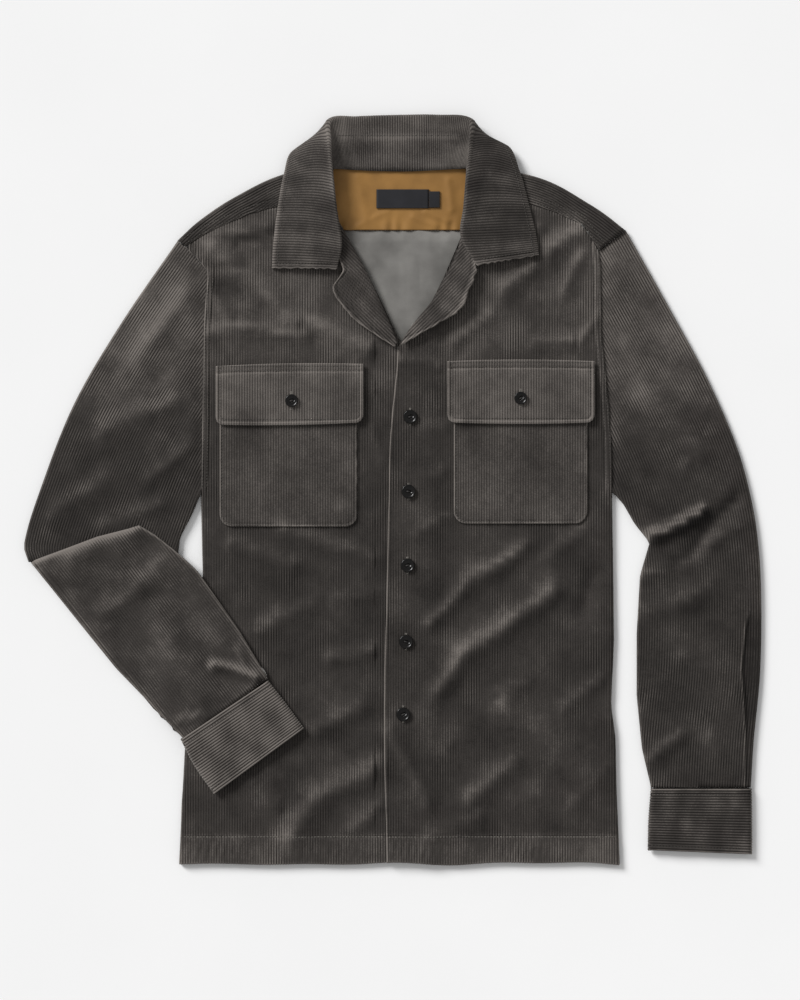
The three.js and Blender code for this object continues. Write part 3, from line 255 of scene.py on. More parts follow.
def unrest(x, y, size, seed):
    """A soft uneven field of about -1 to 1, with swells of about the given size."""
    random = np.random.default_rng(seed)
    field = np.zeros_like(x, dtype=float)
    for _ in range(UNREST_WAVES):
        angle, phase, stretch = random.uniform((0, 0, 0.6), (math.tau, math.tau, 1.7))
        across = x * math.cos(angle) + y * math.sin(angle)
        field += np.sin(across * math.tau / (size * stretch) + phase)
    return field / 4


def fold_height(folds, x, y):
    """Folds with a narrow crest on a broad foot, wandering a little and of uneven height."""
    aside = unrest(x, y, WANDER_SIZE, 71), unrest(x, y, WANDER_SIZE, 72)
    x, y = x + FOLD_WANDER * aside[0], y + FOLD_WANDER * aside[1]
    crests, troughs = (np.zeros_like(x, dtype=float) for _ in range(2))
    for x1, y1, x2, y2, width, high in folds:
        run_x, run_y = x2 - x1, y2 - y1
        t = np.clip(((x - x1) * run_x + (y - y1) * run_y) / (run_x**2 + run_y**2), 0, 1)
        off = (np.hypot(x - x1 - t * run_x, y - y1 - t * run_y) / width) ** 2
        height = high * (0.8 * np.exp(-off) + 0.2 * np.exp(-4 * off))
        crests = np.maximum(crests, height)
        troughs = np.minimum(troughs, height)
    return FOLD_SHARE * (crests + troughs) * (1 + UNEVEN_SHARE * unrest(x, y, UNEVEN_SIZE, 73))


def front_top(x, y):
    """Height of the outer face of the fronts, before the rounding at their edges."""
    lap = np.where(x > LAP_X, smooth((UNDERLAP_X + 26 - x) / 18) * smooth((180 - y) / 16), 0)
    return FRONT_TOP + lap * PLACKET_LIFT + fold_height(ALL_FRONT_FOLDS, x, y)


middle_height = float(front_top(*np.array(FRONT_BUTTONS[2][:2])))
print("front at the middle button:", round(middle_height, 1), "mm up")

# %% [markdown]
# ## One sheet of cloth
# `create_grid` makes the flat grid, whose points are then moved to their places. Points that a
# seam line pushes together are merged, which trims the panel to its cut. The faces are extruded
# inwards for the wall, so each sheet is a closed shell, and only its outer face gets the wales.

# %% Wales
WALE = 2.7  # from one ridge to the next, in mm, about nine to the inch
WALE_DEPTH = 0.75
WALE_LEVEL = 0.8  # where the plain face of the sheet lies, from groove to crest
WALE_COLUMNS = 4
COLUMN, ROW = WALE / WALE_COLUMNS, 7.0


def wale_profile(phase):
    """A rounded ridge between two narrow grooves, 0 in the groove and 1 on the crest."""
    return np.abs(np.sin(np.pi * phase)) ** 0.7


def softer(wale, share):
    """The same wales with shallower relief and less painted shade in their grooves, as where the pile
    is brushed over its grooves.
    """
    return 0.6 + (wale - 0.6) * share


def brushed(x, y, seed):
    """How much of the wales' contrast shows from place to place."""
    return np.clip(0.72 + 0.42 * unrest(x, y, 34, seed) + 0.2 * unrest(x, y, 9, seed + 1), 0.2, 1.25)


print("a groove is", WALE_DEPTH, "mm deep, and its middle tone", round(softer(0.0, 0.72), 2))


# %% The sheet builder
MERGE_WITHIN = 0.04  # mm, for the points that a seam line pushes together
INNER_WALE = 0.6


def spaced(start, end, step):
    return np.linspace(start, end, max(2, round(abs(end - start) / step) + 1))


def stack(x, y, z):
    return np.stack([x, y, z], axis=-1)


def cloth(columns, rows, place, wall, faces_up=False):
    """place(u, v) returns points in mm and a dict of marks for the finish: wale, edge and nap, where
    the wale also paints shade in the grooves and the nap paints light and shade on folds.

    A sheet that faces up everywhere keeps its wall below it, also where rows are trimmed away.
    """
    nx, ny = len(columns) - 1, len(rows) - 1
    u, v = np.meshgrid(columns, rows)
    points, marks = place(u, v)
    points = points.reshape(-1, 3) * MM
    wale = marks.get("wale", np.full(u.shape, 1.0)).ravel()
    depth = marks.get("depth", np.full(u.shape, WALE_DEPTH)).ravel()
    relief = (wale - WALE_LEVEL) * depth * MM
    edge = marks.get("edge", np.zeros(u.shape)).ravel()
    nap = marks.get("nap", np.zeros(u.shape)).ravel()
    bm = bmesh.new()
    key = bm.verts.layers.int.new("place")
    layers = [bm.verts.layers.float.new(n) for n in ("wale", "edge", "nap")]
    bmesh.ops.create_grid(bm, x_segments=nx, y_segments=ny, size=0.5)
    for vert in bm.verts:
        k = round((vert.co.y + 0.5) * ny) * (nx + 1) + round((vert.co.x + 0.5) * nx)
        vert[key] = k
        vert.co = points[k]
    bmesh.ops.remove_doubles(bm, verts=bm.verts, dist=MERGE_WITHIN * MM)
    bm.normal_update()
    normals = {vert[key]: vert.normal.copy() for vert in bm.verts}
    if faces_up:
        normals = {k: n if n.z > 0.05 else Vector((0, 0, 1)) for k, n in normals.items()}
    outer, kept = list(bm.verts), set(bm.faces)
    made = bmesh.ops.extrude_face_region(bm, geom=list(kept), use_keep_orig=True)["geom"]
    inner_faces = [g for g in made if isinstance(g, bmesh.types.BMFace)]
    for vert in [g for g in made if isinstance(g, bmesh.types.BMVert)]:
        vert.co -= normals[vert[key]] * wall * MM
        vert[layers[0]] = INNER_WALE
    for vert in outer:
        k = vert[key]
        vert.co += normals[k] * relief[k]
        vert[layers[0]], vert[layers[1]], vert[layers[2]] = wale[k], edge[k], nap[k]
    bmesh.ops.reverse_faces(bm, faces=bm.faces)
    for face in inner_faces:
        face.material_index = 1
    for face in bm.faces:
        face.smooth = True
    return bm


print("rows of a sheet 700 mm long:", len(spaced(0, 700, ROW)))


# %% A finished piece
def finish_mesh(name, bms, materials, node):
    """Joins the given meshes in one object and ties it to the frame."""
    whole = bms[0]
    for other in bms[1:]:
        spare = bpy.data.meshes.new("spare")
        other.to_mesh(spare)
        whole.from_mesh(spare)
        bpy.data.meshes.remove(spare)
    mesh = bpy.data.meshes.new(name)
    whole.to_mesh(mesh)
    piece = bpy.data.objects.new(name, mesh)
    bpy.context.scene.collection.objects.link(piece)
    for material in materials:
        mesh.materials.append(material)
    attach(piece, "root")
    if node:
        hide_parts(node)
    volume = whole.calc_volume(signed=True) * 1e6
    print(name, len(mesh.polygons), "faces, volume", round(volume, 1), "cm3")
    for bm in bms:
        bm.free()
    return piece


# %% [markdown]
# ## Finishes
# Corduroy is woven from cotton, and its pile is cut and brushed. It scatters light at its edges,
# which is the sheen, and hardly shines. The grooves get painted shade and the crests a painted
# highlight, the rubbed edges are lighter, and the folds get painted light on their crests and on
# slopes facing the light and painted shade in their hollows, over random patches of pile that
# look lighter or darker.

# %% Node helper and colours
def linear(hex_colour):
    """An sRGB hex colour as linear RGBA."""
    parts = [int(hex_colour[i : i + 2], 16) / 255 for i in (0, 2, 4)]
    return [p / 12.92 if p <= 0.04045 else ((p + 0.055) / 1.055) ** 2.4 for p in parts] + [1]


def add(tree, kind, inputs=(), **settings):
    """Adds a node, sets its properties, and fills its inputs with values or links."""
    made = tree.nodes.new("ShaderNode" + kind)
    for name, value in settings.items():
        setattr(made, name, value)
    for socket, value in dict(inputs).items():
        if isinstance(value, bpy.types.NodeSocket):
            tree.links.new(value, made.inputs[socket])
        else:
            made.inputs[socket].default_value = value
    return made


def material(name):
    made = bpy.data.materials.new(name)
    made.use_nodes = True
    made.node_tree.nodes.clear()
    return made, made.node_tree


def set_ramp(ramp, stops):
    elements = ramp.color_ramp.elements
    while len(elements) < len(stops):
        elements.new(0.5)
    for element, (position, colour) in zip(elements, stops):
        element.position, element.color = position, linear(colour)


def output(tree, shader):
    add(tree, "OutputMaterial", {"Surface": shader.outputs["BSDF"]})


print("middle grey in linear light:", round(linear("808080")[0], 3))


# %% Corduroy
PATCH_SIZE, BLOTCH_SIZE, TUFT_SIZE = 60 * MM, 12 * MM, 1.1 * MM


def corduroy(name, stops, sheen=0.2):
    """Brushed pile with painted shade in the grooves and painted highlights on the crests, lighter
    rubbed edges, and painted light and shade on folds over patches of leaning pile.
    """
    made, tree = material(name)
    place = add(tree, "TexCoord").outputs["Object"]
    wale, edge, nap = (
        add(tree, "Attribute", attribute_name=n).outputs["Fac"] for n in ("wale", "edge", "nap")
    )
    patch = add(tree, "TexNoise", {"Vector": place, "Scale": 1 / PATCH_SIZE, "Detail": 3.0})
    blotch = add(tree, "TexNoise", {"Vector": place, "Scale": 1 / BLOTCH_SIZE, "Detail": 2.0})
    tuft = add(tree, "TexNoise", {"Vector": place, "Scale": 1 / TUFT_SIZE, "Detail": 2.0})
    value = 0.0
    # The wale mark paints shade into the grooves and highlights on the crests; the nap mark paints
    # light and shade on the folds over random pile patches.
    terms = [(wale, 0.44), (edge, 0.42), (nap, 0.26), (patch.outputs["Fac"], 0.2),
             (blotch.outputs["Fac"], 0.16), (tuft.outputs["Fac"], 0.30)]
    for term, share in terms:
        value = add(
            tree, "Math", {0: term, 1: share, 2: value}, operation="MULTIPLY_ADD"
        ).outputs[0]
    ramp = add(tree, "ValToRGB", {"Fac": value})
    set_ramp(ramp, stops)
    bump = add(
        tree, "Bump", {"Height": tuft.outputs["Fac"], "Strength": 0.35, "Distance": 0.0004}
    )
    shader = add(tree, "BsdfPrincipled", {
        "Base Color": ramp.outputs["Color"], "Roughness": 0.88, "Specular IOR Level": 0.2,
        "Sheen Weight": sheen, "Sheen Roughness": 0.4, "Sheen Tint": linear("c8c4be"),
        "Normal": bump.outputs["Normal"],
    })
    output(tree, shader)
    return made


CORDUROY = corduroy("cotton_corduroy", [
    (0.2, "0b0a09"), (0.5, "221f1d"), (0.75, "403c39"), (1.0, "736d68")])
print(CORDUROY.name, len(CORDUROY.node_tree.nodes), "nodes")


# %% Woven cloths
def woven(name, dark, light, pitch, roughness, sheen=0.05, bump_mm=0.06):
    """A plain weave: two crossed sets of threads of the given pitch in mm."""
    made, tree = material(name)
    place = add(tree, "TexCoord").outputs["Object"]
    scale = math.tau / (pitch * MM) / 20
    warp = add(tree, "TexWave", {"Vector": place, "Scale": scale, "Distortion": 0.6},
               bands_direction="X")
    weft = add(tree, "TexWave", {"Vector": place, "Scale": scale, "Distortion": 0.6},
               bands_direction="Y")
    threads = add(tree, "Math", {0: warp.outputs["Fac"], 1: weft.outputs["Fac"]},
                  operation="MULTIPLY")
    patch = add(tree, "TexNoise", {"Vector": place, "Scale": 1 / 0.03, "Detail": 4.0})
    value = add(tree, "Math", {0: threads.outputs[0], 1: 0.35, 2: patch.outputs["Fac"]},
                operation="MULTIPLY_ADD")
    ramp = add(tree, "ValToRGB", {"Fac": value.outputs[0]})
    set_ramp(ramp, [(0.3, dark), (0.95, light)])
    bump = add(tree, "Bump", {"Height": threads.outputs[0], "Strength": 0.5,
                              "Distance": bump_mm * MM})
    shader = add(tree, "BsdfPrincipled", {
        "Base Color": ramp.outputs["Color"], "Roughness": roughness, "Specular IOR Level": 0.3,
        "Sheen Weight": sheen, "Normal": bump.outputs["Normal"]})
    output(tree, shader)
    return made


INSIDE = woven("corduroy_ground_weave", "63615e", "8a8884", 0.7, 0.9)
LINING_CLOTH = woven("ochre_cotton_lining", "805c2c", "a97d42", 0.45, 0.55, 0.1, 0.03)
LABEL_CLOTH = woven("black_woven_ribbon", "141417", "2b2b30", 0.5, 0.7)
THREAD = woven("polyester_topstitching_thread", "3b3835", "68645f", 0.3, 0.6)
HOLE_THREAD = woven("buttonhole_twist_thread", "75716b", "a8a39b", 0.3, 0.6)
BUTTON_THREAD = woven("black_button_thread", "151414", "3a3735", 0.3, 0.5)
print("weaves:", ", ".join(m.name for m in bpy.data.materials if m != CORDUROY))


# %% Buttons and the surface
def smooth_solid(name, dark, light, roughness, scale_mm, coat=0.0):
    made, tree = material(name)
    place = add(tree, "TexCoord").outputs["Object"]
    cloud = add(tree, "TexNoise", {"Vector": place, "Scale": 1 / (scale_mm * MM), "Detail": 4.0})
    ramp = add(tree, "ValToRGB", {"Fac": cloud.outputs["Fac"]})
    set_ramp(ramp, [(0.35, dark), (0.7, light)])
    shader = add(tree, "BsdfPrincipled", {
        "Base Color": ramp.outputs["Color"], "Roughness": roughness, "Coat Weight": coat,
        "Specular IOR Level": 0.25, "Coat Roughness": 0.08})
    output(tree, shader)
    return made


BUTTON_RESIN = smooth_solid("polished_resin_button", "060505", "100e0d", 0.3, 3.0, 0.15)
FLOOR_PAPER = smooth_solid("matt_white_paper", "f9f9f9", "fbfbfb", 0.95, 200.0)
print(BUTTON_RESIN.name, "and", FLOOR_PAPER.name)


# %% A cut piece of corduroy
def panel(name, sheets, node, inside=INSIDE):
    """Pile on the outer face and the plain ground weave on the inner one."""
    return finish_mesh(name, sheets, [CORDUROY, inside], node)


print("inner faces show", INSIDE.name)

# %% [markdown]
# ## The two fronts
# Each front is one panel from the hem to the yoke seam. Its wales run straight up the body, so
# the grid's columns keep their own X and the panel's edges trim them, as the cutter's knife does.

# %% Rounded edges, seams and pile
HEM_STITCH_Y = -361.5
HEM_FADE = 60.0  # the hem's unevenness dies out this far up


def round_drop(distance, radius):
    """How far a rounded edge lies below the face, at a distance from the edge."""
    left = radius - np.clip(distance, 0, radius)
    return radius - np.sqrt(np.maximum(radius**2 - left**2, 0))


def band(distance, at, width):
    """A soft stripe, 1 where the distance equals the given one."""
    return np.exp(-(((distance - at) / width) ** 2))


def fold_light_and_nap(folds, x, y, seed):
    """Painted light on fold crests and on slopes facing the light, painted shade in the hollows and
    on slopes turned away, over uneven patches of pile.
    """
    step = 3.0
    here = fold_height(folds, x, y)
    rise = here - fold_height(folds, x + step, y - step * 0.8)
    return np.clip(0.12 * here - 0.7 * rise + 0.16 * unrest(x, y, 60, seed), -1, 1)


def hem_hang(x, y, above=0.0):
    """The lower edge hangs a little unevenly, and the back's lies a little above the fronts'."""
    return (2.0 * unrest(x, 0 * x, 120, 8) + above) * smooth(1 - (y - HEM_Y) / HEM_FADE)


print("hem:", round(HEM_STITCH_Y - HEM_Y, 1), "mm deep")

# %% One front
SIDE_ROUND, ARMHOLE_ROUND = FRONT_TOP - CLOTH - 0.8, 2.0
EDGE_FADE = 14.0  # folds flatten out this near to the side of the body
SEAM_WIDTH = 20.0  # of the raised and stitched stretch beside the armhole
ROPING_PITCH = 8.5  # of the slanting puckers that a turned hem gets when it is stitched


def front_place(side):
    is_right = side == "right"
    top_edge = FRONT_RIGHT_TOP if is_right else FRONT_LEFT_TOP

    def place(u, v):
        edge_keys = np.array(PLACKET_EDGE, float)
        left_of = (lambda y: straight(LEFT_EDGE, y)) if is_right else (
            lambda y: flowing(edge_keys[:, 0], edge_keys[:, 1], y))
        right_of = (lambda y: np.full_like(y, UNDERLAP_X)) if is_right else (
            lambda y: straight(RIGHT_EDGE, y))
        y = np.minimum(v, straight(top_edge, u))
        outer_y = top_edge[0][1] if is_right else top_edge[-1][1]
        limit = np.minimum(y, outer_y)
        left, right = left_of(limit if is_right else y), right_of(y if is_right else limit)
        x = np.clip(u + 0.5 * unrest(u, v, 160, 3), left, right)
        armpit = LEFT_ARMPIT_Y if is_right else RIGHT_ARMPIT_Y
        distance = x - left if is_right else right - x
        radius = mix(SIDE_ROUND, ARMHOLE_ROUND, smooth((y - armpit) / SEAM_WIDTH))
        height = np.maximum(LOWEST_TOP, front_top(x, y))
        z = height - round_drop(distance, radius)
        z = z - (height - FRONT_TOP) * smooth(1 - distance / EDGE_FADE)
        if is_right:
            z = np.where(x > LAP_X, np.minimum(z, FRONT_TOP), z)
        else:
            z = z - 0.9 * round_drop(x - left, 1.0) + 0.35 * band(x - left, 1.6, 1.2)
        y = y + hem_hang(x, y)
        hem = v - HEM_STITCH_Y
        roping = np.sin(math.tau * (x + 0.9 * hem) / ROPING_PITCH + 2 * np.sin(x / 23))
        z = z + 0.45 * roping * band(hem, -10, 15) * (0.7 + 0.6 * unrest(x, y, 90, 14))
        z = z - 0.8 * band(hem, 0, 1.1) + 0.3 * smooth((-hem) / 3)
        z = z - 0.8 * round_drop(v - HEM_Y, 1.2)
        seam = smooth((y - armpit) / 10) * (distance < SEAM_WIDTH)
        z = z + seam * (0.9 * smooth((6.5 - distance) / 1.2) - 0.5 * band(distance, 7.4, 0.8)
                        - 0.35 * band(distance, 2.4, 0.6))
        wale = softer(wale_profile(x / WALE), brushed(x, y, 81))
        edge = seam * (0.45 * band(distance, 0.9, 1.0) + 0.3 * band(distance, 5.6, 0.9))
        edge = edge + 0.2 * band(hem, 1.8, 1.2) + 0.4 * band(v, HEM_Y, 1.5)
        edge = edge + 0.3 * band(distance, 0.3, 1.2) * (y < armpit)
        if not is_right:
            edge = edge + 1.0 * band(x, left, 1.3)
        # Painted light on fold crests and slopes facing the light, painted shade in the hollows, over
        # random pile patches; the fronts are also lighter from the flaps up and on the turned hem.
        nap = fold_light_and_nap(ALL_FRONT_FOLDS, x, y, 11 if is_right else 12) + 0.42 * smooth((y - 60) / 90)
        nap = nap + 0.4 * smooth((HEM_STITCH_Y + 10 - v) / 20)
        return stack(x, y, z), {"wale": wale, "edge": edge, "nap": nap}

    return place


def front_rows():
    fine = [HEM_Y + d for d in (0, 0.6, 1.5, 3)]
    stitch = [HEM_STITCH_Y + d for d in (-4, -2, -1, 0, 1, 2, 4)]
    plain = [y for y in spaced(HEM_Y, 310, ROW) if y > HEM_Y + 5 and abs(y - HEM_STITCH_Y) > 5]
    return np.array(sorted(fine + stitch + plain))


print("rows of a front:", len(front_rows()))

# %% Both fronts
right_wales = np.arange(-83 * WALE, UNDERLAP_X + 1, COLUMN)
left_wales = np.arange(-4 * WALE, 88 * WALE, COLUMN)
front_right = panel("front_right_panel", [cloth(
    right_wales, front_rows(), front_place("right"), CLOTH, faces_up=True)], "front_right")
front_left = panel("front_left_panel", [cloth(
    left_wales, front_rows(), front_place("left"), CLOTH, faces_up=True)], "front_left")


# %% [markdown]
# ## Back and yoke
# The back lies face down, so its wales are under it and its plain woven side looks up through
# the open neck. The yoke is one flat plate behind the neck with a strap folded over each
# shoulder. Its wales run along the shoulder.

# %% Back panel
BACK_ROW, BACK_DEPTH = 13.0, 0.5
BACK_HEM_ABOVE = 0.8  # mm, so that the fronts hide it
# Soft creases of the back, seen through the open neck.
NECK_FOLDS = [(-34, 248, 22, 214, 8, 1.7), (60, 252, 28, 212, 7, 1.5), (8, 222, 22, 176, 6, 1.5),
              (-10, 200, 8, 168, 5, 1.2), (26, 266, 52, 236, 6, 1.1)]


def back_place(u, v):
    y = np.minimum(v, straight(YOKE_SEAM, u))
    x = np.clip(u, straight(LEFT_EDGE, y), straight(RIGHT_EDGE, y))
    y = y + hem_hang(x, y, BACK_HEM_ABOVE)
    z = np.maximum(0, fold_height(NECK_FOLDS, x, y))
    wale = wale_profile(x / WALE)
    return stack(x, y, z), {"wale": wale, "depth": np.full_like(x, BACK_DEPTH)}


def flipped(place):
    """The same panel with its outer face looking down."""
    return lambda u, v: place(-u, v)


BACK_WALES = np.arange(-87 * WALE, 90 * WALE, WALE / 2)
back = panel("back_panel", [cloth(
    -BACK_WALES[::-1], spaced(HEM_Y, YOKE_SEAM_Y, BACK_ROW), flipped(back_place), CLOTH)], "back")


# %% Strap of the yoke over a shoulder
UNDER_REACH = 16  # how far the strap goes on under the shoulder fold
YOKE_STITCHES = (2.4, 8.6)  # of the two stitch rows, from the seam


def yoke_strap(table, outer_is_left):
    rows = np.array(table, float)
    along = shares_along(table, 0, 1)
    radius = YOKE_TOP / 2

    def place(u, v):
        t = 1 - u if outer_is_left else u
        out_x, out_y = flowing(along, rows[:, 0], t), flowing(along, rows[:, 1], t)
        in_x, in_y = np.interp(t, along, rows[:, 2]), np.interp(t, along, rows[:, 3])
        reach = np.maximum(np.hypot(in_x - out_x, in_y - out_y), radius + 1)
        top = v < 1
        turn = np.clip(v - 1, 0, 1) * np.pi
        distance = np.where(top, mix(reach, radius, np.clip(v, 0, 1)),
                            np.where(v <= 2, radius - radius * np.sin(turn),
                                     mix(radius, np.minimum(UNDER_REACH, reach),
                                         np.clip(v - 2, 0, 1))))
        z = np.where(top, mix(FRONT_TOP, YOKE_TOP, smooth(np.clip(v, 0, 1) * 2)),
                     radius + radius * np.cos(turn))
        share = distance / reach
        x, y = mix(out_x, in_x, share), mix(out_y, in_y, share)
        under = v > 2.001
        y = np.where(under, np.maximum(y, straight(YOKE_SEAM, x) + SEAM), y)
        seam = reach - distance
        lift = 0.9 * smooth(1 - seam / 9) * top - 0.5 * band(seam, 0, 0.8) * top
        lift = lift + (0.5 * fold_height(SMALL_FOLDS, x, y) + 0.3 * unrest(x, y, 22, 5)) * top
        for stitches in YOKE_STITCHES:
            lift = lift - 0.35 * band(seam, stitches, 0.7) * top
        marks = {"wale": wale_profile(distance / WALE), "nap": 0.3 * unrest(x, y, 40, 6),
                 "edge": 0.35 * band(seam, 0.5, 0.8) * top + 0.3 * band(distance, 0.8, 1.2)}
        return stack(x, y, z + lift * smooth(distance / 3)), marks

    columns = np.linspace(0, 1, 30)
    rows_top = np.linspace(0, 1, 60)
    rows_turn = np.linspace(1, 2, 8)[1:]
    rows_under = np.linspace(2, 3, 8)[1:]
    return cloth(columns, np.concatenate([rows_top, rows_turn, rows_under]), place, CLOTH)


print("shoulder folds:", len(SHOULDER_RIGHT), "and", len(SHOULDER_LEFT), "points")


# %% Plate of the yoke, and both joined
def yoke_plate():
    right = [(x + 1.2, y - 3.6) for x, y, _, _ in SHOULDER_RIGHT[:-1]][::-1]
    left = [(x - 1.2, y - 3.6) for x, y, _, _ in SHOULDER_LEFT[:-1]]
    outline = [(-220.6, 256.2), *right, (-15.8, 330.6), (35.7, 332), *left, (235, 266)]

    def place(u, v):
        x = -u
        low = straight(YOKE_SEAM, x) + SEAM
        low = np.where(x < -215.8, 255, np.where(x > 219.6, np.maximum(low, 260), low))
        y = mix(low, straight(outline, x), v)
        return stack(x, y, np.zeros_like(x)), {"wale": wale_profile(y / WALE),
                                               "depth": np.full_like(x, BACK_DEPTH)}

    return cloth(np.linspace(-235, 220.6, 70), np.linspace(0, 1, 44), place, CLOTH)


yoke = panel("yoke_panel", [
    yoke_plate(), yoke_strap(SHOULDER_RIGHT, True), yoke_strap(SHOULDER_LEFT, False)], "yoke")


# %% [markdown]
# ## Lining and labels
# The yoke is faced inside with a smooth ochre cotton, slightly gathered where it is sewn down,
# with a woven label and a size tab, both left bare.

# %% Yoke lining and labels
def patch_place(box, z, bend):
    def place(u, v):
        x, y = mix(box[0], box[1], u), mix(box[2], box[3], v)
        return stack(x, y, z + bend(x, y)), {"wale": np.full_like(x, 0.8)}

    return place


def lining_bend(x, y):
    gather = np.sin(x / 2.6 + 2 * np.sin(x / 9)) * 0.5 * smooth((287 - y) / 17)
    pulls = fold_height([(-40, 322, -24, 280, 6, 1.1), (56, 320, 62, 290, 5, 1.2),
                         (20, 284, 46, 274, 4, 0.9), (-6, 286, -34, 274, 4, 0.8),
                         (34, 290, 60, 278, 4, 1.0)], x, y)
    return gather + pulls + 0.1 * unrest(x, y, 20, 4)


LINING_Z = CLOTH + SEAM + LINING
LINING_BOX = (-64, 76, YOKE_SEAM_Y + SEAM, LINING_TOP_Y + 5)
lining = finish_mesh(
    "yoke_lining_cloth",
    [cloth(np.linspace(0, 1, 100), np.linspace(0, 1, 46),
           patch_place(LINING_BOX, LINING_Z, lining_bend), LINING)],
    [LINING_CLOTH, LINING_CLOTH], "yoke_lining")


def label_bend(x, y):
    return np.maximum(lining_bend(x, y), 0) + 0.25 + 0.05 * np.sin(y * math.pi / 0.8)


labels = [
    finish_mesh(name + "_ribbon",
                [cloth(np.linspace(0, 1, 24), np.linspace(0, 1, 30),
                       patch_place(box, LINING_Z + SEAM + LINING, label_bend), LINING)],
                [LABEL_CLOTH, LABEL_CLOTH], name)
    for name, box in LABELS.items()]


# %% [markdown]
# ## Sleeves and cuffs
# A sleeve is a tube laid flat: an upper and a lower sheet that meet in a fold along both sides.
# Its wales run down the arm. The cuffs are cut across, so their wales go round the wrist.

# %% Flat tubes
def around(top_count, bottom_count):
    """Columns round a flat tube: 0 to 1 over the top sheet, and on to 2 back underneath."""
    return np.concatenate([np.linspace(0, 1, top_count + 1),
                           np.linspace(1, 2, bottom_count + 1)[1:]])


def tube_heights(distance, depth, top, lift):
    """Heights of a flat tube's two sheets above what it lies on, round at its folds."""
    radius = depth / 2
    half = np.sqrt(np.maximum(radius**2 - (radius - np.clip(distance, 0, radius)) ** 2, 0))
    return np.where(top, np.maximum(radius + half + lift, 2 * CLOTH + 0.3), radius - half)


def on_surface(x, y):
    return np.zeros_like(x)


def forearm_base(x, y):
    """What the folded forearm lies on: the body, the upper sleeve, or the surface."""
    on_body = smooth((x + 264) / 36)
    sleeve_end = mix(-76, -98, smooth((x + 377) / 150))
    on_sleeve = smooth((y - sleeve_end + 26) / 24)
    body = FRONT_TOP + np.maximum(0, fold_height(FRONT_FOLDS, x, y)) + LEAST_GAP + SEAM
    from_elbow = smooth((x + 379) / 22)
    return from_elbow * np.maximum(on_body * body, on_sleeve * (SLEEVE_TOP + LEAST_GAP + SEAM))


# %% [markdown]
# A sleeve's wales run parallel to its outer fold, because the cutter lays the sleeve's middle
# line along them. The slanting underarm seam and the armhole cut them off. So the columns of the
# grid are lines at fixed distances from the outer fold, trimmed at those two edges.

# %% Sleeve layout
# Lines across the sleeve may not meet within its width, so the columns turn no tighter than this.
TIGHTEST_TURN = 215.0  # radius in mm
LINE_STEPS, LINE_BEYOND, LINE_BLUR = 300, 24, 61
ARMHOLE_TUCK = 0.2  # how far the sleeve goes under the body's edge
HIDDEN_COLUMNS = 2  # columns to a wale on the lower sheet


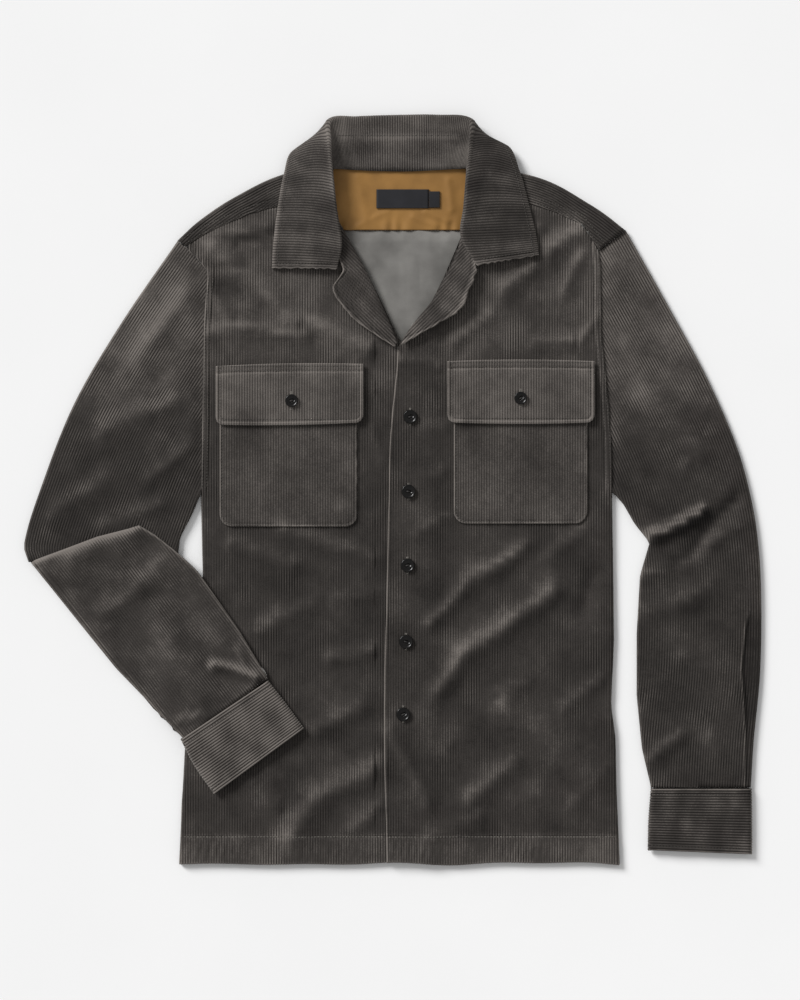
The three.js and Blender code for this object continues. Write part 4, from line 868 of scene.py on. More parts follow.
class SleeveLines:
    """Lines along a sleeve at fixed distances from its outer fold, and where each is cut off."""

    def __init__(self, table, edge_table, body_is_left):
        rows = np.array(table, float)
        along = shares_along(table, 2, 3)
        v = np.linspace(0, 1, LINE_STEPS)
        outer = np.stack([flowing(along, rows[:, k], v) for k in (2, 3)], axis=1)
        first, last = outer[1] - outer[0], outer[-1] - outer[-2]
        reach = np.arange(1, LINE_BEYOND + 1)[:, None]
        before, after = outer[0] - first * reach[::-1], outer[-1] + last * reach
        self.outer = np.concatenate([before, outer, after])
        tangent = np.gradient(self.outer, axis=0)
        soft = np.ones(LINE_BLUR) / LINE_BLUR
        padded = np.pad(tangent, ((LINE_BLUR // 2, LINE_BLUR // 2), (0, 0)), mode="edge")
        tangent = np.stack([np.convolve(padded[:, k], soft, "valid") for k in (0, 1)], axis=1)
        tangent /= np.linalg.norm(tangent, axis=1)[:, None]
        sign = 1 if body_is_left else -1
        step = np.linalg.norm(np.diff(self.outer, axis=0), axis=1)
        heading = np.unwrap(np.arctan2(tangent[:, 1], tangent[:, 0]))
        turns = np.clip(np.diff(heading), -step / TIGHTEST_TURN, step / TIGHTEST_TURN)
        heading = heading[-1] - np.concatenate([np.cumsum(turns[::-1])[::-1], [0]])
        tangent = np.stack([np.cos(heading), np.sin(heading)], axis=1)
        self.normal = sign * np.stack([-tangent[:, 1], tangent[:, 0]], axis=1)
        self.s = np.concatenate([[0], np.cumsum(step)])
        inner = np.stack([np.interp(np.linspace(0, 1, 200), along, rows[:, k]) for k in (0, 1)],
                         axis=1)
        self.width = np.array([self.across(inner, k, tangent) for k in range(len(self.s))])
        self.armhole = lambda y: straight(edge_table, y) - ARMHOLE_TUCK * sign
        self.d = np.arange(0, 170, 1.0)
        self.low, self.high = self.ends(rows[0], sign)
        self.widest = self.reach_of_columns()

    def across(self, inner, k, tangent):
        offset = inner - self.outer[k]
        ahead = offset @ tangent[k]
        if ahead.max() < 0:
            return 1e3
        return float(np.interp(0, np.maximum.accumulate(ahead), offset @ self.normal[k]))

    def at(self, s, d):
        x = np.interp(s, self.s, self.outer[:, 0]) + np.interp(s, self.s, self.normal[:, 0]) * d
        y = np.interp(s, self.s, self.outer[:, 1]) + np.interp(s, self.s, self.normal[:, 1]) * d
        return x, y

    def ends(self, chord, sign):
        """Where each column starts at the lower chord, and where it meets the armhole."""
        s, d = np.meshgrid(self.s, self.d)
        x, y = self.at(s, d)
        run = np.array([chord[2] - chord[0], chord[3] - chord[1]]) * sign
        above = (x - chord[0]) * -run[1] + (y - chord[1]) * run[0]
        inside = (x - self.armhole(y)) * sign
        low = np.array([np.interp(0, np.maximum.accumulate(row), self.s) for row in above])
        high = []
        for row in inside:
            beyond = np.nonzero((row < 0) & (self.s > self.s[-1] * 0.3))[0]
            k = beyond[0] if len(beyond) else len(row) - 1
            t = row[k - 1] / max(row[k - 1] - row[k], 1e-6)
            high.append(mix(self.s[k - 1], self.s[k], float(np.clip(t, 0, 1))))
        return low, np.array(high)

    def reach_of_columns(self):
        """How far from the outer fold the columns go. Those past the armpit end at its height."""
        k = int(np.argmax(self.d > np.interp(self.high, self.s, self.width)))
        self.high[k:] = self.high[k]
        below = (self.s > self.low.min()) & (self.s < self.high[k])
        return float(min(max(self.d[k], self.width[below].max()), self.d[-1]))


left_lines = SleeveLines(LEFT_SLEEVE, RIGHT_EDGE, True)
right_lines = SleeveLines(RIGHT_UPPER_SLEEVE, LEFT_EDGE, False)
print("sleeve widths", round(left_lines.widest), round(right_lines.widest), "mm")


# %% One sleeve
PAST_ARMHOLE = 9.0  # rows that the armhole trims off whole, so that every column reaches it


def pleat_drop(from_outer, y):
    """The pleat above the cuff lies lower between its edge and the outer fold."""
    inset = straight(PLEAT, y)
    fade = smooth((PLEAT[-1][0] - y) / 30) * (y < PLEAT[-1][0])
    return PLEAT_DROP * fade * smooth((inset - from_outer) / 1.6)


def sleeve_cloth(lines, folds, body_is_left, seed):
    count = math.ceil(lines.widest / WALE) + 1

    def place(u, v):
        top = u <= 1
        share = np.where(top, u, 2 - u)
        d = (1 - share if body_is_left else share) * count * WALE
        wale = wale_profile(d / WALE)
        s = soft_least(v, np.interp(d, lines.d, lines.high), 1.5)
        s = np.maximum(s, np.interp(d, lines.d, lines.low))
        width = np.interp(s, lines.s, lines.width)
        d = soft_least(d, width, 0.8)
        x, y = lines.at(s, d)
        distance = np.minimum(d, width - d)
        from_armhole = np.abs(x - lines.armhole(y))
        lift = fold_height(folds, x, y) + 0.3 * unrest(x, y, 26, seed + 50)
        # Painted light on fold crests and slopes facing the light, painted shade in the hollows, over
        # random pile patches; the sleeve is also lighter the higher it lies, from y 20 up.
        nap = fold_light_and_nap(folds, x, y, seed) + 0.7 * smooth((y - 20) / 130)
        edge = 0.3 * band(distance, 0.6, 1.4) * top
        if body_is_left:
            lift = lift - pleat_drop(d, y)
            inset, in_pleat = straight(PLEAT, y), smooth((PLEAT[-1][0] - y) / 30) * top
            # Painted shade on the lowered strip of the pleat, between its edge and the outer fold.
            nap = nap - 0.45 * smooth((inset - d) / 1.5) * in_pleat
            edge = edge + 0.5 * band(d, inset + 1.2, 0.8) * in_pleat
        lift = smooth(distance / 12) * lift - 1.5 * np.exp(-((from_armhole / 7) ** 2)) * (y > 0)
        z = tube_heights(distance, SLEEVE_TOP, top, lift)
        depth = 0.6 * smooth(distance / 2.2) * smooth(from_armhole / 3)
        marks = {"wale": softer(wale, brushed(x, y, 83)), "nap": nap, "edge": edge, "depth": depth}
        return stack(x, y, z), marks

    rows = spaced(lines.low.min(), lines.high.max() + PAST_ARMHOLE, ROW)
    return cloth(around(count * WALE_COLUMNS, count * HIDDEN_COLUMNS), rows, place, CLOTH)


sleeve_left = panel("sleeve_left_tube", [
    sleeve_cloth(left_lines, LEFT_SLEEVE_FOLDS, True, 21)], "sleeve_left")

# %% The folded forearm
# Its tables are in its own directions: up along the arm, and across it.
ARM_UP, ARM_ACROSS = (-0.61, 0.79), (0.79, 0.61)
FOREARM_TOP = [(-344, 170.7), (-315.4, 161.5), (-274.6, 149), (-243.4, 135.6), (-232.5, 131.6),
               (-225.7, 114.4), (-218, 84), (-212, 60)]
FOREARM_LEFT = [(-72, -331.5), (28.6, -343), (164, -346)]
FOREARM_RIGHT = [(-77, -224), (-20, -217), (55, -213), (84, -217.5), (96, -217.6), (200, -216)]
FOREARM_CUFF, FOREARM_SPAN = -76, (-346, -213)
FOREARM_WALES = round((FOREARM_SPAN[1] - FOREARM_SPAN[0]) / WALE)


def forearm_place(u, v):
    top = u <= 1
    share = np.where(top, u, 2 - u)
    across = mix(*FOREARM_SPAN, share)
    up = mix(FOREARM_CUFF, straight(FOREARM_TOP, across), v)
    low, high = straight(FOREARM_LEFT, up), straight(FOREARM_RIGHT, up)
    wale = wale_profile(across / WALE)
    across = -soft_least(-soft_least(across, high, 0.7), -low, 0.7)
    end = (straight(FOREARM_TOP, across) - up) * 0.93
    distance = np.minimum(np.minimum(across - low, high - across), end)
    x = ARM_UP[0] * up + ARM_ACROSS[0] * across
    y = ARM_UP[1] * up + ARM_ACROSS[1] * across
    lift = fold_height(FOREARM_FOLDS, x, y) + 0.3 * unrest(x, y, 26, 33)
    lift = smooth(distance / 12) * lift - 1.6 * smooth((5.0 - (across - low)) / 0.9) * (v < 0.97)
    z = forearm_base(x, y) + tube_heights(distance, FOREARM_DEPTH, top, lift)
    edge = 0.5 * band(distance, 0.8, 1.6) * top + 0.35 * band(across - low, 5.2, 0.7) * top
    edge = edge + 0.45 * band(end, 3.0, 2.2) * top
    # Painted light on fold crests and slopes facing the light, painted shade in the hollows, over
    # random pile patches, and the whole forearm a little lighter.
    return stack(x, y, z), {"wale": softer(wale, brushed(x, y, 85)), "edge": edge,
                            "nap": fold_light_and_nap(FOREARM_FOLDS, x, y, 23) + 0.25,
                            "depth": WALE_DEPTH * smooth(distance / 2.2)}


forearm_rows = np.concatenate([np.linspace(0, 0.94, 40), 1 - np.array(
    [0.045, 0.033, 0.023, 0.016, 0.011, 0.007, 0.0035, 0.0014, 0])])
forearm_columns = around(FOREARM_WALES * WALE_COLUMNS, FOREARM_WALES * HIDDEN_COLUMNS)
sleeve_right = panel("sleeve_right_tube", [
    sleeve_cloth(right_lines, RIGHT_SLEEVE_FOLDS, False, 22),
    cloth(forearm_columns, forearm_rows, forearm_place, CLOTH)], "sleeve_right")


# %% Cuffs
CUFF_WALES = 24
CUFF_STITCHES = (58.6, 5.5)  # of the stitch grooves, from the cuff's lower rim


def cuff(name, node, table, base, outer_is_left, seed):
    """A double band round the wrist, whose own wales lie across those of the sleeve."""
    rows = np.array(table, float)
    along = shares_along(table, 2, 3)

    def place(u, v):
        top = u <= 1
        share = np.where(top, u, 2 - u)
        ends = [flowing(along, rows[:, k], v) for k in range(4)]
        left, right = (ends[2:], ends[:2]) if outer_is_left else (ends[:2], ends[2:])
        width = np.hypot(right[0] - left[0], right[1] - left[1])
        distance = np.minimum(share, 1 - share) * width
        x, y = mix(left[0], right[0], share), mix(left[1], right[1], share)
        from_rim = np.minimum(v, 1 - v) * CUFF_HEIGHT
        out = np.minimum(distance + 1.0, from_rim)
        lift = 0
        for stitches in CUFF_STITCHES:
            lift = lift - 0.5 * band(v * CUFF_HEIGHT, stitches, 0.8)
        lift = lift - 1.0 * round_drop(from_rim, 1.4)
        lift = lift + 0.35 * unrest(x, y, 24, seed) * smooth(distance / 8)
        z = base(x, y) + tube_heights(distance, CUFF_DEPTH, top, lift)
        # Random patches of pile; the right cuff, lying on the forearm, is lighter than the left.
        return stack(x, y, z), {"wale": wale_profile(v * CUFF_WALES),
                                "nap": 0.35 * unrest(x, y, 34, seed) + 0.1 + 0.7 * outer_is_left,
                                "edge": 0.55 * band(out, 0.6, 1.1) * top}

    rows_at = np.linspace(0, 1, CUFF_WALES * 4 + 1)
    sheets = [cloth(around(40, 20), rows_at, place, CUFF)]
    return panel(name, sheets, node, inside=CORDUROY)


cuff_left = cuff("cuff_left_band", "cuff_left", LEFT_CUFF, on_surface, False, 31)
cuff_right = cuff("cuff_right_band", "cuff_right", RIGHT_CUFF, forearm_base, True, 32)

# %% [markdown]
# ## Collar and lapels
# The camp collar is one folded band: a stand rising from the neck seam, a soft roll, and a leaf
# that falls outwards. It is swept as a row of sections, so its wales cross it as they do when a
# collar is cut with its length across the cloth. The lapels are the fronts' own facings.

# %% Sections of the collar
def collar_section(row):
    """The middle of the folded band at one section, from the leaf's edge to the neck seam."""
    foot, roll, leaf, edge = (Vector(row[k : k + 3]) for k in (0, 3, 6, 9))
    to_foot, to_leaf = (foot - roll).normalized(), (leaf - roll).normalized()
    out = -(to_foot + to_leaf).normalized()
    aside = to_foot - to_leaf
    aside = (aside - out * aside.dot(out)).normalized()
    centre = roll - out * row[12]
    turn = [centre + (out * math.cos(a) + aside * math.sin(a)) * row[12]
            for a in np.linspace(-math.pi / 2, math.pi / 2, 9)]
    fall = [edge * (1 - t) ** 2 + leaf * 2 * t * (1 - t) + turn[0] * t * t
            for t in np.linspace(0, 1, 18)[:-1]]
    stand = [turn[-1].lerp(foot, t) for t in np.linspace(0, 1, 12)[1:]]
    return [tuple(p) for p in fall + turn + stand]


print("points in a section:", len(collar_section(COLLAR_SECTIONS[0])))

# %% Collar
COLLAR_WALES = 172
STAND_FROM = 0.58  # share of a section from the leaf's edge to where the stand starts
STAND_SEAM_Y, STAND_MIDDLE_X, STAND_SEAM_REACH = 366.5, 6, 66
EDGE_STITCH = 5.5  # of the stitch groove, from a finished edge
COLLAR_WALE_DEPTH = 0.55


def collar_place(u, v):
    """The swept sections, with a scalloped rim and grooves where the stitches draw it in."""
    table = np.array(COLLAR_SECTIONS, float)
    middle = (table[:, 3:5] + table[:, 9:11]) / 2
    steps = np.hypot(*np.diff(middle, axis=0).T)
    along = np.concatenate([[0], np.cumsum(steps)]) / steps.sum()
    rows = np.stack([flowing(along, table[:, k], v[:, 0]) for k in range(13)], axis=1)
    points = np.array([collar_section(row) for row in rows])
    part = u / u.max()
    width = np.linalg.norm(np.diff(points, axis=1), axis=2)
    from_edge = np.concatenate([np.zeros((len(points), 1)), np.cumsum(width, axis=1)], axis=1)
    from_end = np.minimum(v, 1 - v) * steps.sum()
    outer = np.minimum(from_edge, from_end)
    x, y = points[..., 0], points[..., 1]
    is_stand = part > STAND_FROM
    at_seam = is_stand * (np.abs(x - STAND_MIDDLE_X) < STAND_SEAM_REACH)
    stand_seam = band(y, STAND_SEAM_Y, 0.9) * at_seam
    scallop = np.sin(math.tau * from_edge / 9 + 2 * np.sin(from_edge / 7)) * band(from_end, 0, 2.4)
    groove = 0.55 * band(outer, EDGE_STITCH, 0.9) - 0.35 * band(outer, 1.5, 1.6) + 0.6 * stand_seam
    z = points[..., 2] - groove + 0.3 * unrest(x, y, 24, 41) * smooth(from_edge / 8)
    z = z + (0.8 * band(from_end, 1.4, 1.6) + 0.4 * scallop) * ~is_stand
    y = y - 0.8 * scallop * ~is_stand
    edge = 0.55 * band(outer, 0.4, 1.0) + 0.3 * band(part, 0.52, 0.05)
    edge = edge + 0.35 * band(y, STAND_SEAM_Y - 1.7, 0.8) * at_seam
    # Random patches of pile, lighter left of x -50, slightly darker beyond x 80, and lighter on the
    # stand.
    nap = 0.25 * unrest(x, y, 34, 42) + 0.28
    nap = nap + 0.22 * (x < -50) - 0.02 * (x > 80) + 0.4 * is_stand
    wale = softer(wale_profile(v * COLLAR_WALES), 0.72)
    return stack(x, y, z), {"wale": wale, "edge": edge, "nap": nap,
                            "depth": COLLAR_WALE_DEPTH + 0 * x}


collar_columns = np.arange(len(collar_section(COLLAR_SECTIONS[0])))
collar_rows = np.linspace(0, 1, COLLAR_WALES * 3 + 1)
collar = panel("collar_band", [cloth(
    collar_columns.astype(float), collar_rows, collar_place, COLLAR)], "collar", inside=CORDUROY)


# %% Lapels
LAPEL_ROLL = 1.2  # how far the facing sinks into the fold
LAPEL_WALE_DEPTH = 0.5


def lapel_place(table, fold_is_left):
    """A facing from its fold to its rim, which curls up more on the wearer's right."""
    rows = np.array(table, float)
    along = shares_along(table, 2, 3)

    def place(u, v):
        t = u if fold_is_left else 1 - u
        fold_x, fold_y, rim_x, rim_y, rim_lift = (flowing(along, rows[:, k], v) for k in range(5))
        x, y = mix(fold_x, rim_x, t), mix(fold_y, rim_y, t)
        width = np.hypot(rim_x - fold_x, rim_y - fold_y)
        roll = LAPEL_ROLL * (1 - smooth(t / 0.12))
        lift = SEAM + LEAST_GAP + LAPEL + rim_lift * smooth(t) - roll
        from_rim = (1 - t) * width
        side = -1 if fold_is_left else 1
        curl = 1.5 if fold_is_left else 0.5
        lift = lift + curl * band(from_rim, 1.6, 1.8) - 0.5 * band(from_rim, EDGE_STITCH, 0.9)
        scallop = np.sin(v * 62 + 2 * np.sin(v * 17)) * smooth(width / 20)
        x = x - side * curl * 0.55 * scallop * band(from_rim, 0, 3)
        lift = lift + 0.4 * scallop * band(from_rim, 1, 3)
        z = np.maximum(FRONT_TOP, front_top(x, y)) + lift + 0.2 * unrest(x, y, 18, 44)
        wale = softer(wale_profile((side * x * 0.7 + y * 0.71) / WALE), 0.85)
        edge = (0.4 if fold_is_left else 0.9) * band(from_rim, 0.4, 1.1)
        # Random patches of pile, lighter overall, and lighter along the curled rim of the left lapel.
        nap = 0.25 * unrest(x, y, 30, 45) + 0.25 + 0.6 * fold_is_left * band(from_rim, 1.5, 2)
        return stack(x, y, z), {"wale": wale, "edge": edge, "nap": nap,
                                "depth": LAPEL_WALE_DEPTH + 0 * x}

    return place


lapels = [
    panel(f"lapel_{side}_facing", [cloth(
        np.linspace(0, 1, 36), np.linspace(0, 1, 120), lapel_place(table, side == "left"),
        LAPEL - LAPEL_ROLL)], f"facing_{side}", inside=CORDUROY)
    for side, table in (("right", RIGHT_LAPEL), ("left", LEFT_LAPEL))]


# %% [markdown]
# ## Pockets and flaps
# Patch pockets have their edges turned under and stitched close to the fold, which leaves a
# raised light rim and small puckers. Each flap is double, with a welt along its top and a rolled
# lower edge.

# %% One patch
RIM_ROWS = [0, 0.4, 0.8, 1.3, 2, 2.6, 3.2, 3.8, 4.6, 6, 8, 10.5]  # distances from the rim
WELT_EDGE = 7.4  # of the raised welt, from the flap's top
FLAP_BOW = 1.7


def patch(side, box, corner, lift, is_flap):
    """Columns, rows and place of a pocket or flap, which follows the front below it."""
    left, right, bottom, top = box
    middle, half = (left + right) / 2, (right - left) / 2

    def place(u, v):
        y, low = v, v - bottom
        rise = np.minimum(corner, low)
        inset = corner - np.sqrt(np.maximum(corner**2 - (corner - rise) ** 2, 0))
        x = np.clip(u, left + inset, right - inset)
        near_x = np.minimum(x - left, right - x)
        in_corner = (near_x < corner) & (low < corner)
        bend = corner - np.hypot(corner - near_x, corner - low)
        out = np.where(in_corner, bend, np.minimum(near_x, low))
        out = np.maximum(out, 0)
        z = np.maximum(LOWEST_TOP, front_top(x, y)) + lift(y) - 0.9 * round_drop(out, 1.0)
        if is_flap:
            upper = top - y
            z = z + 0.7 * smooth((WELT_EDGE - upper) / 0.8) - 0.5 * band(upper, 7.8, 0.6)
            z = z - 0.7 * round_drop(upper, 1.0)
            z = z + 0.7 * smooth((3.2 - out) / 0.8) - 0.35 * band(out, 4.0, 0.7)
            edge = 0.3 * band(out, 3.0, 0.7) + 0.2 * band(upper, 7.2, 0.7)
            edge = edge + 0.4 * band(out, 0.6, 0.7)
            edge = edge + 0.3 * band(upper, 0.4, 0.8) + 0.2 * band(upper, 8.8, 0.9)
        else:
            z = z + 0.45 * band(out, 1.2, 1.0) - 0.4 * band(out, 3.0, 0.7)
            pucker = np.sin(y / 1.9 + 2.2 * np.sin(y / 9)) * np.exp(-near_x / 6)
            pucker = pucker + np.sin(x / 2.1 + 2 * np.sin(x / 8)) * np.exp(-low / 5)
            z = z + 0.34 * pucker
            worn = np.clip(0.6 + 0.6 * unrest(x, y, 26, 62), 0.1, 1.3)
            edge = 0.85 * band(out, 0.5, 0.9) * worn
        # Painted light on fold crests and slopes facing the light, painted shade in the hollows, over
        # random pile patches; flaps are lighter than pockets.
        nap = fold_light_and_nap(ALL_FRONT_FOLDS, x, y, 61) + (0.66 if is_flap else 0.34)
        if is_flap:
            bow = 1 - ((x - middle) / half) ** 2
            tilt = 1.2 * (x - middle) / half * (side == "right")
            y = y + tilt + FLAP_BOW * bow * (2 * (y - bottom) / (top - bottom) - 1)
        wale = softer(wale_profile((x + 0.4) / WALE), 0.85)
        return stack(x, y, z), {"wale": wale, "edge": edge, "nap": nap}

    columns = np.concatenate([[left], np.arange(left + 0.35, right - 0.2, COLUMN), [right]])
    low_rows = [bottom + d for d in RIM_ROWS]
    high = [top - d for d in (RIM_ROWS + [7.2, 8.6] if is_flap else [0, 2])]
    plain = [y for y in spaced(bottom, top, 5.0) if bottom + 13 < y < top - (12 if is_flap else 4)]
    return columns, np.array(sorted(low_rows + high + plain)), place


print("rows in the rim of a patch:", len(RIM_ROWS))


# %% Pockets and flaps
def pocket_lift(y):
    return LEAST_GAP + CLOTH


def flap_lift(y):
    over = 1 - smooth((y - FLAP_SINK_Y[0]) / (FLAP_SINK_Y[1] - FLAP_SINK_Y[0]))
    return LEAST_GAP + FLAP + over * pocket_lift(y)


pockets, flaps = [], []
for side in ("right", "left"):
    columns, rows, place = patch(side, POCKETS[side], POCKET_CORNER, pocket_lift, False)
    pockets.append(panel(
        f"pocket_{side}_patch", [cloth(columns, rows, place, CLOTH)], f"pocket_{side}"))
    columns, rows, place = patch(side, FLAPS[side], FLAP_CORNER, flap_lift, True)
    flaps.append(panel(
        f"flap_{side}_double", [cloth(columns, rows, place, FLAP)], f"flap_{side}", inside=CORDUROY))


# %% [markdown]
# ## Buttons
# A fish-eye button is turned from resin with a raised rim, then an eye-shaped hollow is milled in
# its face and two holes are drilled in the hollow. A few turns of thread lie in the eye.

# %% Body of a button
# Shares of the button's radius and thickness.
BUTTON_FACE = 0.76
BUTTON_RIM = [(0.0, 0.0), (0.72, 0), (0.86, 0.08), (0.97, 0.3), (1.0, 0.52), (0.98, 0.78),
              (0.93, 0.95), (0.87, 1.0), (0.81, 0.95), (0.74, 0.82), (0.68, BUTTON_FACE)]
EYE_LENGTH, EYE_WIDTH, EYE_DEPTH = 0.58, 0.28, 0.42
# The two holes are near-black discs in the eye, painted shade where real holes go through.
PAINTED_HOLE_SHADE = smooth_solid("button_hole_shade", "030303", "050505", 0.9, 3.0)


def button_body(radius):
    """A profile spun round the middle line, with the eye sunk in its face."""
    rim = BUTTON_THICKNESS
    profile = BUTTON_RIM + [(r, BUTTON_FACE) for r in np.linspace(0.62, 0.0, 12)]
    bm = bmesh.new()
    verts = [bm.verts.new((r * radius, 0, h * rim)) for r, h in profile]
    edges = [bm.edges.new(pair) for pair in zip(verts, verts[1:])]
    bmesh.ops.spin(bm, geom=verts + edges, axis=(0, 0, 1), cent=(0, 0, 0), steps=44,
                   angle=math.tau, use_merge=True)
    bmesh.ops.remove_doubles(bm, verts=bm.verts, dist=1e-3)
    for vert in bm.verts:
        across = math.hypot(vert.co.x / (EYE_LENGTH * radius), vert.co.y / (EYE_WIDTH * radius))
        if vert.co.z > 0.6 * rim and across < 1:
            vert.co.z -= EYE_DEPTH * rim * math.sqrt(1 - across**2)
    bmesh.ops.recalc_face_normals(bm, faces=bm.faces)
    return bm


print("a front button:", 2 * FRONT_BUTTON_RADIUS, "mm across")

# %% Holes and thread of a button
HOLE_RADIUS, HOLE_ASIDE = 0.6, 0.25  # mm, and a share of the button's radius
THREAD_RADIUS, THREAD_RUN, THREADS_AT = 0.3, 0.56, (-0.5, 0, 0.5)


def rod(bm, radius, depth, segments, matrix, index):
    """A short round rod in the material of the given index."""
    made = bmesh.ops.create_cone(bm, cap_ends=True, segments=segments, radius1=radius,
                                 radius2=radius, depth=depth, matrix=matrix)
    for f in {f for v in made["verts"] for f in v.link_faces}:
        f.material_index = index


def button_mesh(radius, x, y, z, turn):
    bm = button_body(radius)
    floor_z = (BUTTON_FACE - EYE_DEPTH) * BUTTON_THICKNESS
    # Each hole is a near-black disc on the eye's floor: painted shade standing in for a hole through
    # the button.
    for sign in (-1, 1):
        at = Matrix.Translation((sign * HOLE_ASIDE * radius, 0, floor_z + 0.35))
        rod(bm, HOLE_RADIUS, 0.3, 14, at, 1)
    for aside in THREADS_AT:
        at = Matrix.Translation((0, aside, floor_z + 0.62)) @ Matrix.Rotation(math.pi / 2, 4, "Y")
        rod(bm, THREAD_RADIUS, THREAD_RUN * radius, 8, at, 2)
    for f in bm.faces:
        f.smooth = True
    bmesh.ops.rotate(bm, matrix=Matrix.Rotation(math.radians(turn), 3, "Z"), verts=bm.verts)
    bmesh.ops.scale(bm, vec=(MM, MM, MM), verts=bm.verts)
    bmesh.ops.translate(bm, vec=(x * MM, y * MM, z * MM), verts=bm.verts)
    return bm


print("holes:", round(2 * HOLE_ASIDE * FRONT_BUTTON_RADIUS, 1), "mm apart")


# %% Buttons
def flap_top(x, y):
    return front_top(x, y) + flap_lift(y)


def button(node, height, radius, x, y, turn):
    """A button that rests on the highest cloth below its rim."""
    a = np.linspace(0, math.tau, 24)
    z = float(np.max(height(x + radius * np.cos(a), y + radius * np.sin(a)))) + LEAST_GAP
    return finish_mesh(node + "_turned", [button_mesh(radius, x, y, z, turn)],
                       [BUTTON_RESIN, PAINTED_HOLE_SHADE, BUTTON_THREAD], node)


for i, (x, y, turn) in enumerate(FRONT_BUTTONS, 1):
    button(f"button_front_{i}", front_top, FRONT_BUTTON_RADIUS, x, y, turn)
for side, (x, y, turn) in FLAP_BUTTONS.items():
    button(f"button_flap_{side}", flap_top, FLAP_BUTTON_RADIUS, x, y, turn)

# %% [markdown]
# ## Stitching
# The seams are topstitched with a thick thread a little lighter than the pile. Each stitch is one
# short bar of thread laid on the cloth below it, and each buttonhole is whipped with bars set
# side by side across its slit.

# %% Bars of thread
STITCH, BAR = 3.3, 2.4  # from one stitch to the next, and the part that shows
THICK_THREAD, FINE_THREAD = 0.26, 0.24
THREAD_LIFT = 0.12  # of a bar's middle line above the cloth
STEEPEST = 1.5  # a bar whose ends differ more in height would hang in the air


def thread_bars(name, lines, radius=THICK_THREAD, thread=THREAD, pitch=STITCH, length=BAR):
    """Lays bars of thread along lines, each a piece and its points in mm."""
    bm, trees = bmesh.new(), {}
    for piece, points in lines:
        if piece.name not in trees:
            cloth_mesh = bmesh.new()
            cloth_mesh.from_mesh(piece.data)
            trees[piece.name] = BVHTree.FromBMesh(cloth_mesh)
            cloth_mesh.free()
        points = np.array(points, float)
        along = np.concatenate([[0], np.cumsum(np.hypot(*np.diff(points, axis=0).T))])
        for start in np.arange(0, along[-1] - length, pitch):
            ends = []
            for s in (start, start + length):
                x, y = (np.interp(s, along, points[:, k]) * MM for k in (0, 1))
                ends.append(trees[piece.name].ray_cast(Vector((x, y, 0.1)), Vector((0, 0, -1)))[0])
            if None in ends or abs(ends[0].z - ends[1].z) > STEEPEST * MM:
                continue
            run = ends[1] - ends[0]
            middle = (ends[0] + ends[1]) / 2 + Vector((0, 0, THREAD_LIFT * MM))
            turn = run.to_track_quat("Z", "Y").to_matrix().to_4x4()
            bmesh.ops.create_cone(bm, cap_ends=True, segments=6, radius1=radius * MM,
                                  radius2=radius * MM, depth=run.length,
                                  matrix=Matrix.Translation(middle) @ turn)
    for face in bm.faces:
        face.smooth = True
    return finish_mesh(name, [bm], [thread], None)


print("stitches:", round(10 / STITCH, 1), "to the centimetre")


# %% Lines of stitches
def u_line(box, inset, corner):
    """Down one side of a patch, round its foot and up the other side."""
    left, right, bottom, top = box[0] + inset, box[1] - inset, box[2] + inset, box[3]
    bend = [(left + corner * (1 - math.cos(a)), bottom + corner * (1 - math.sin(a)))
            for a in np.linspace(0, math.pi / 2, 7)]
    half = [(left, top - 2), *bend]
    return half + [(left + right - x, y) for x, y in reversed(half)]


def beside(table, inset, low, high):
    """A line beside a body edge, from one height to another."""
    return [(float(straight(table, y)) + inset, y) for y in np.linspace(low, high, 24)]


def slit(x, y, half, pitch=0.62, reach=1.15):
    """The whipped edges of an upright buttonhole, as short bars across it."""
    return [[(x + sign * 0.15, y + k * pitch), (x + sign * reach, y + k * pitch)]
            for k in range(-round(half / pitch), round(half / pitch) + 1) for sign in (-1, 1)]


hem_lines = [(front_right, [(-221, HEM_STITCH_Y), (-9, HEM_STITCH_Y)]),
             (front_left, [(-5, HEM_STITCH_Y), (232, HEM_STITCH_Y)])]
thread_bars("hem_topstitching", hem_lines, FINE_THREAD, HOLE_THREAD)

# %% Armhole and yoke stitches
seam_lines = []
for inset in (1.6, 6.0):
    seam_lines.append((front_right, beside(LEFT_EDGE, inset, 2, 222)))
    seam_lines.append((front_left, beside(RIGHT_EDGE, -inset, 4, 236)))
for table in (SHOULDER_RIGHT, SHOULDER_LEFT):
    rows = np.array(table, float)
    for inset in YOKE_STITCHES:
        share = inset / np.hypot(rows[:, 2] - rows[:, 0], rows[:, 3] - rows[:, 1])
        share = np.minimum(share, 0.9)[:, None]
        seam_lines.append((yoke, mix(rows[:, 2:4], rows[:, 0:2], share)))
thread_bars("body_topstitching", seam_lines)

# %% Pocket and flap stitches
patch_lines = []
for k, side in enumerate(("right", "left")):
    left, right, bottom, top = FLAPS[side]
    patch_lines.append((pockets[k], u_line(POCKETS[side], 2.4, POCKET_CORNER - 2.4)))
    patch_lines.append((flaps[k], u_line(FLAPS[side], 4.6, 5.0)))
    for drop in (1.4, 6.0):
        line = [(left + 2, top - drop), (right - 2, top - drop)]
        patch_lines.append((flaps[k], line))
thread_bars("pocket_topstitching", patch_lines, FINE_THREAD)

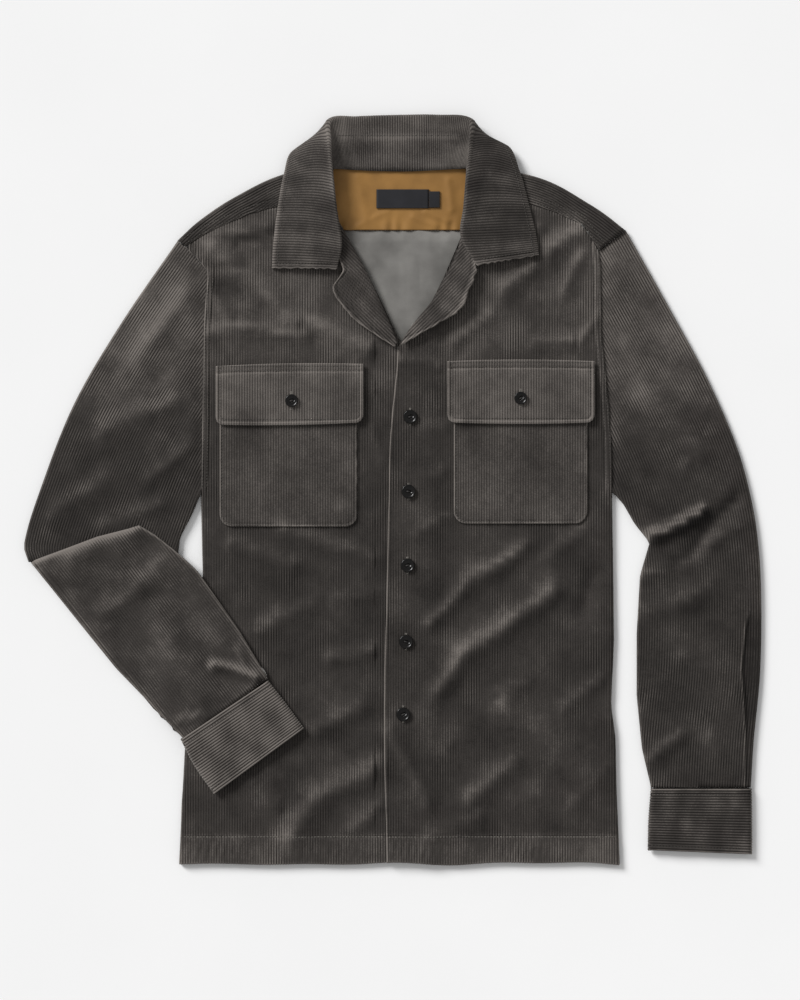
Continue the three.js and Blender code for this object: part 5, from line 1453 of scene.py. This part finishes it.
# %% Buttonhole stitches
ONE_BAR, HOLE_BAR = 9, 0.9  # a pitch longer than any line, so that each gets one bar
FRONT_HOLE, FLAP_HOLE = 8.6, 9.6  # half the length of a buttonhole
hole_lines = [(front_left, bar) for x, y, _ in FRONT_BUTTONS for bar in slit(x, y, FRONT_HOLE)]
for k, side in enumerate(("right", "left")):
    x, y, _ = FLAP_BUTTONS[side]
    hole_lines += [(flaps[k], bar) for bar in slit(x, y, FLAP_HOLE)]
thread_bars("buttonhole_stitching", hole_lines, FINE_THREAD, HOLE_THREAD, ONE_BAR, HOLE_BAR)

# %% Collar and cuff stitches
leaf_rows = np.array(COLLAR_SECTIONS, float)
leaf_in = leaf_rows[:, 6:8] - leaf_rows[:, 9:11]
leaf_line = leaf_rows[:, 9:11] + EDGE_STITCH * leaf_in / np.linalg.norm(leaf_in, axis=1)[:, None]
end_lines = [(collar, leaf_line[:5]), (collar, leaf_line[10:]),
             (collar, [(-120, 233.6), (-62, 233.8)]),
             (collar, [(144, 246.2), (91, 237.8)]),
             (collar, [(-58, STAND_SEAM_Y), (70, STAND_SEAM_Y)])]
for piece, table in ((cuff_left, LEFT_CUFF), (cuff_right, RIGHT_CUFF)):
    rows = np.array(table, float)
    for share in (0.085, 0.9):
        inner, outer = (mix(rows[0, k : k + 2], rows[-1, k : k + 2], share) for k in (0, 2))
        end_lines.append((piece, [mix(inner, outer, 0.03), mix(inner, outer, 0.97)]))
thread_bars("collar_and_cuff_topstitching", end_lines)

# %% [markdown]
# ## The sheets of cloth
# Each cut piece is listed by name. Each flat size is what shows of a cut piece, and on a tube
# what shows all round.

# %% Sheets
cut = []


def sheet(piece):
    cut.append(piece.name)


sheet(front_left)
sheet(front_right)
sheet(back)
sheet(yoke)
sheet(lining)
sheet(sleeve_left)
sheet(sleeve_right)
for piece in (cuff_left, cuff_right):
    sheet(piece)
sheet(collar)
for piece in lapels:
    sheet(piece)
for side, pocket, flap in zip(("right", "left"), pockets, flaps):
    sheet(pocket)
    sheet(flap)
sheet(labels[0])
sheet(labels[1])
print("sheets of cloth:", len(cut))

# %% [markdown]
# ## Surface, light and camera
# The garment lies on matt white paper and is photographed from straight above. One broad light
# comes from the upper left, low enough to rake the wales and folds, and the room fills the rest.

# %% Surface
FLOOR_HALF = 6.0  # metres
FLOOR_DROP = 0.0006  # metres, so that the wales of the lowest sheets stay above it
bm = bmesh.new()
bmesh.ops.create_grid(bm, x_segments=1, y_segments=1, size=FLOOR_HALF)
floor_mesh = bpy.data.meshes.new("paper")
bmesh.ops.translate(bm, vec=(0, 0, -FLOOR_DROP), verts=bm.verts)
bm.to_mesh(floor_mesh)
bm.free()
floor = bpy.data.objects.new("paper_surface", floor_mesh)
floor_mesh.materials.append(FLOOR_PAPER)
bpy.context.scene.collection.objects.link(floor)
print(floor.name, 2 * FLOOR_HALF, "m wide")

# %% Light
ROOM_LIGHT, SUN_LIGHT, SUN_WIDTH = 0.42, 3.5, math.radians(24)
TOWARD_SUN = Vector((-0.66, 0.6, 0.48))
world = bpy.data.worlds.new("studio")
world.use_nodes = True
background = world.node_tree.nodes["Background"].inputs
background["Color"].default_value, background["Strength"].default_value = (1, 1, 1, 1), ROOM_LIGHT
bpy.context.scene.world = world

sun = bpy.data.lights.new("broad_light", "SUN")
sun.energy, sun.angle = SUN_LIGHT, SUN_WIDTH
key = bpy.data.objects.new("broad_light", sun)
key.rotation_euler = TOWARD_SUN.to_track_quat("Z", "Y").to_euler()
bpy.context.scene.collection.objects.link(key)
sun_height = math.degrees(math.atan2(TOWARD_SUN.z, TOWARD_SUN.xy.length))
print("light from", round(sun_height), "degrees up")

# %% Camera
PX = 1.04  # millimetres on the surface for one pixel of the photograph
PHOTO_HEIGHT = 1000  # pixels
CENTRE = (6.6, -11.7)
DISTANCE, SENSOR = 3.0, 36  # metres, and millimetres
camera_data = bpy.data.cameras.new("camera")
camera_data.sensor_width = SENSOR
camera_data.lens = SENSOR * DISTANCE / (PHOTO_HEIGHT * PX * MM)
camera = bpy.data.objects.new("camera", camera_data)
camera.location = (CENTRE[0] * MM, CENTRE[1] * MM, DISTANCE)
bpy.context.scene.collection.objects.link(camera)
bpy.context.scene.camera = camera
bpy.context.scene.view_settings.view_transform = "Standard"
print("lens", round(camera_data.lens), "mm")
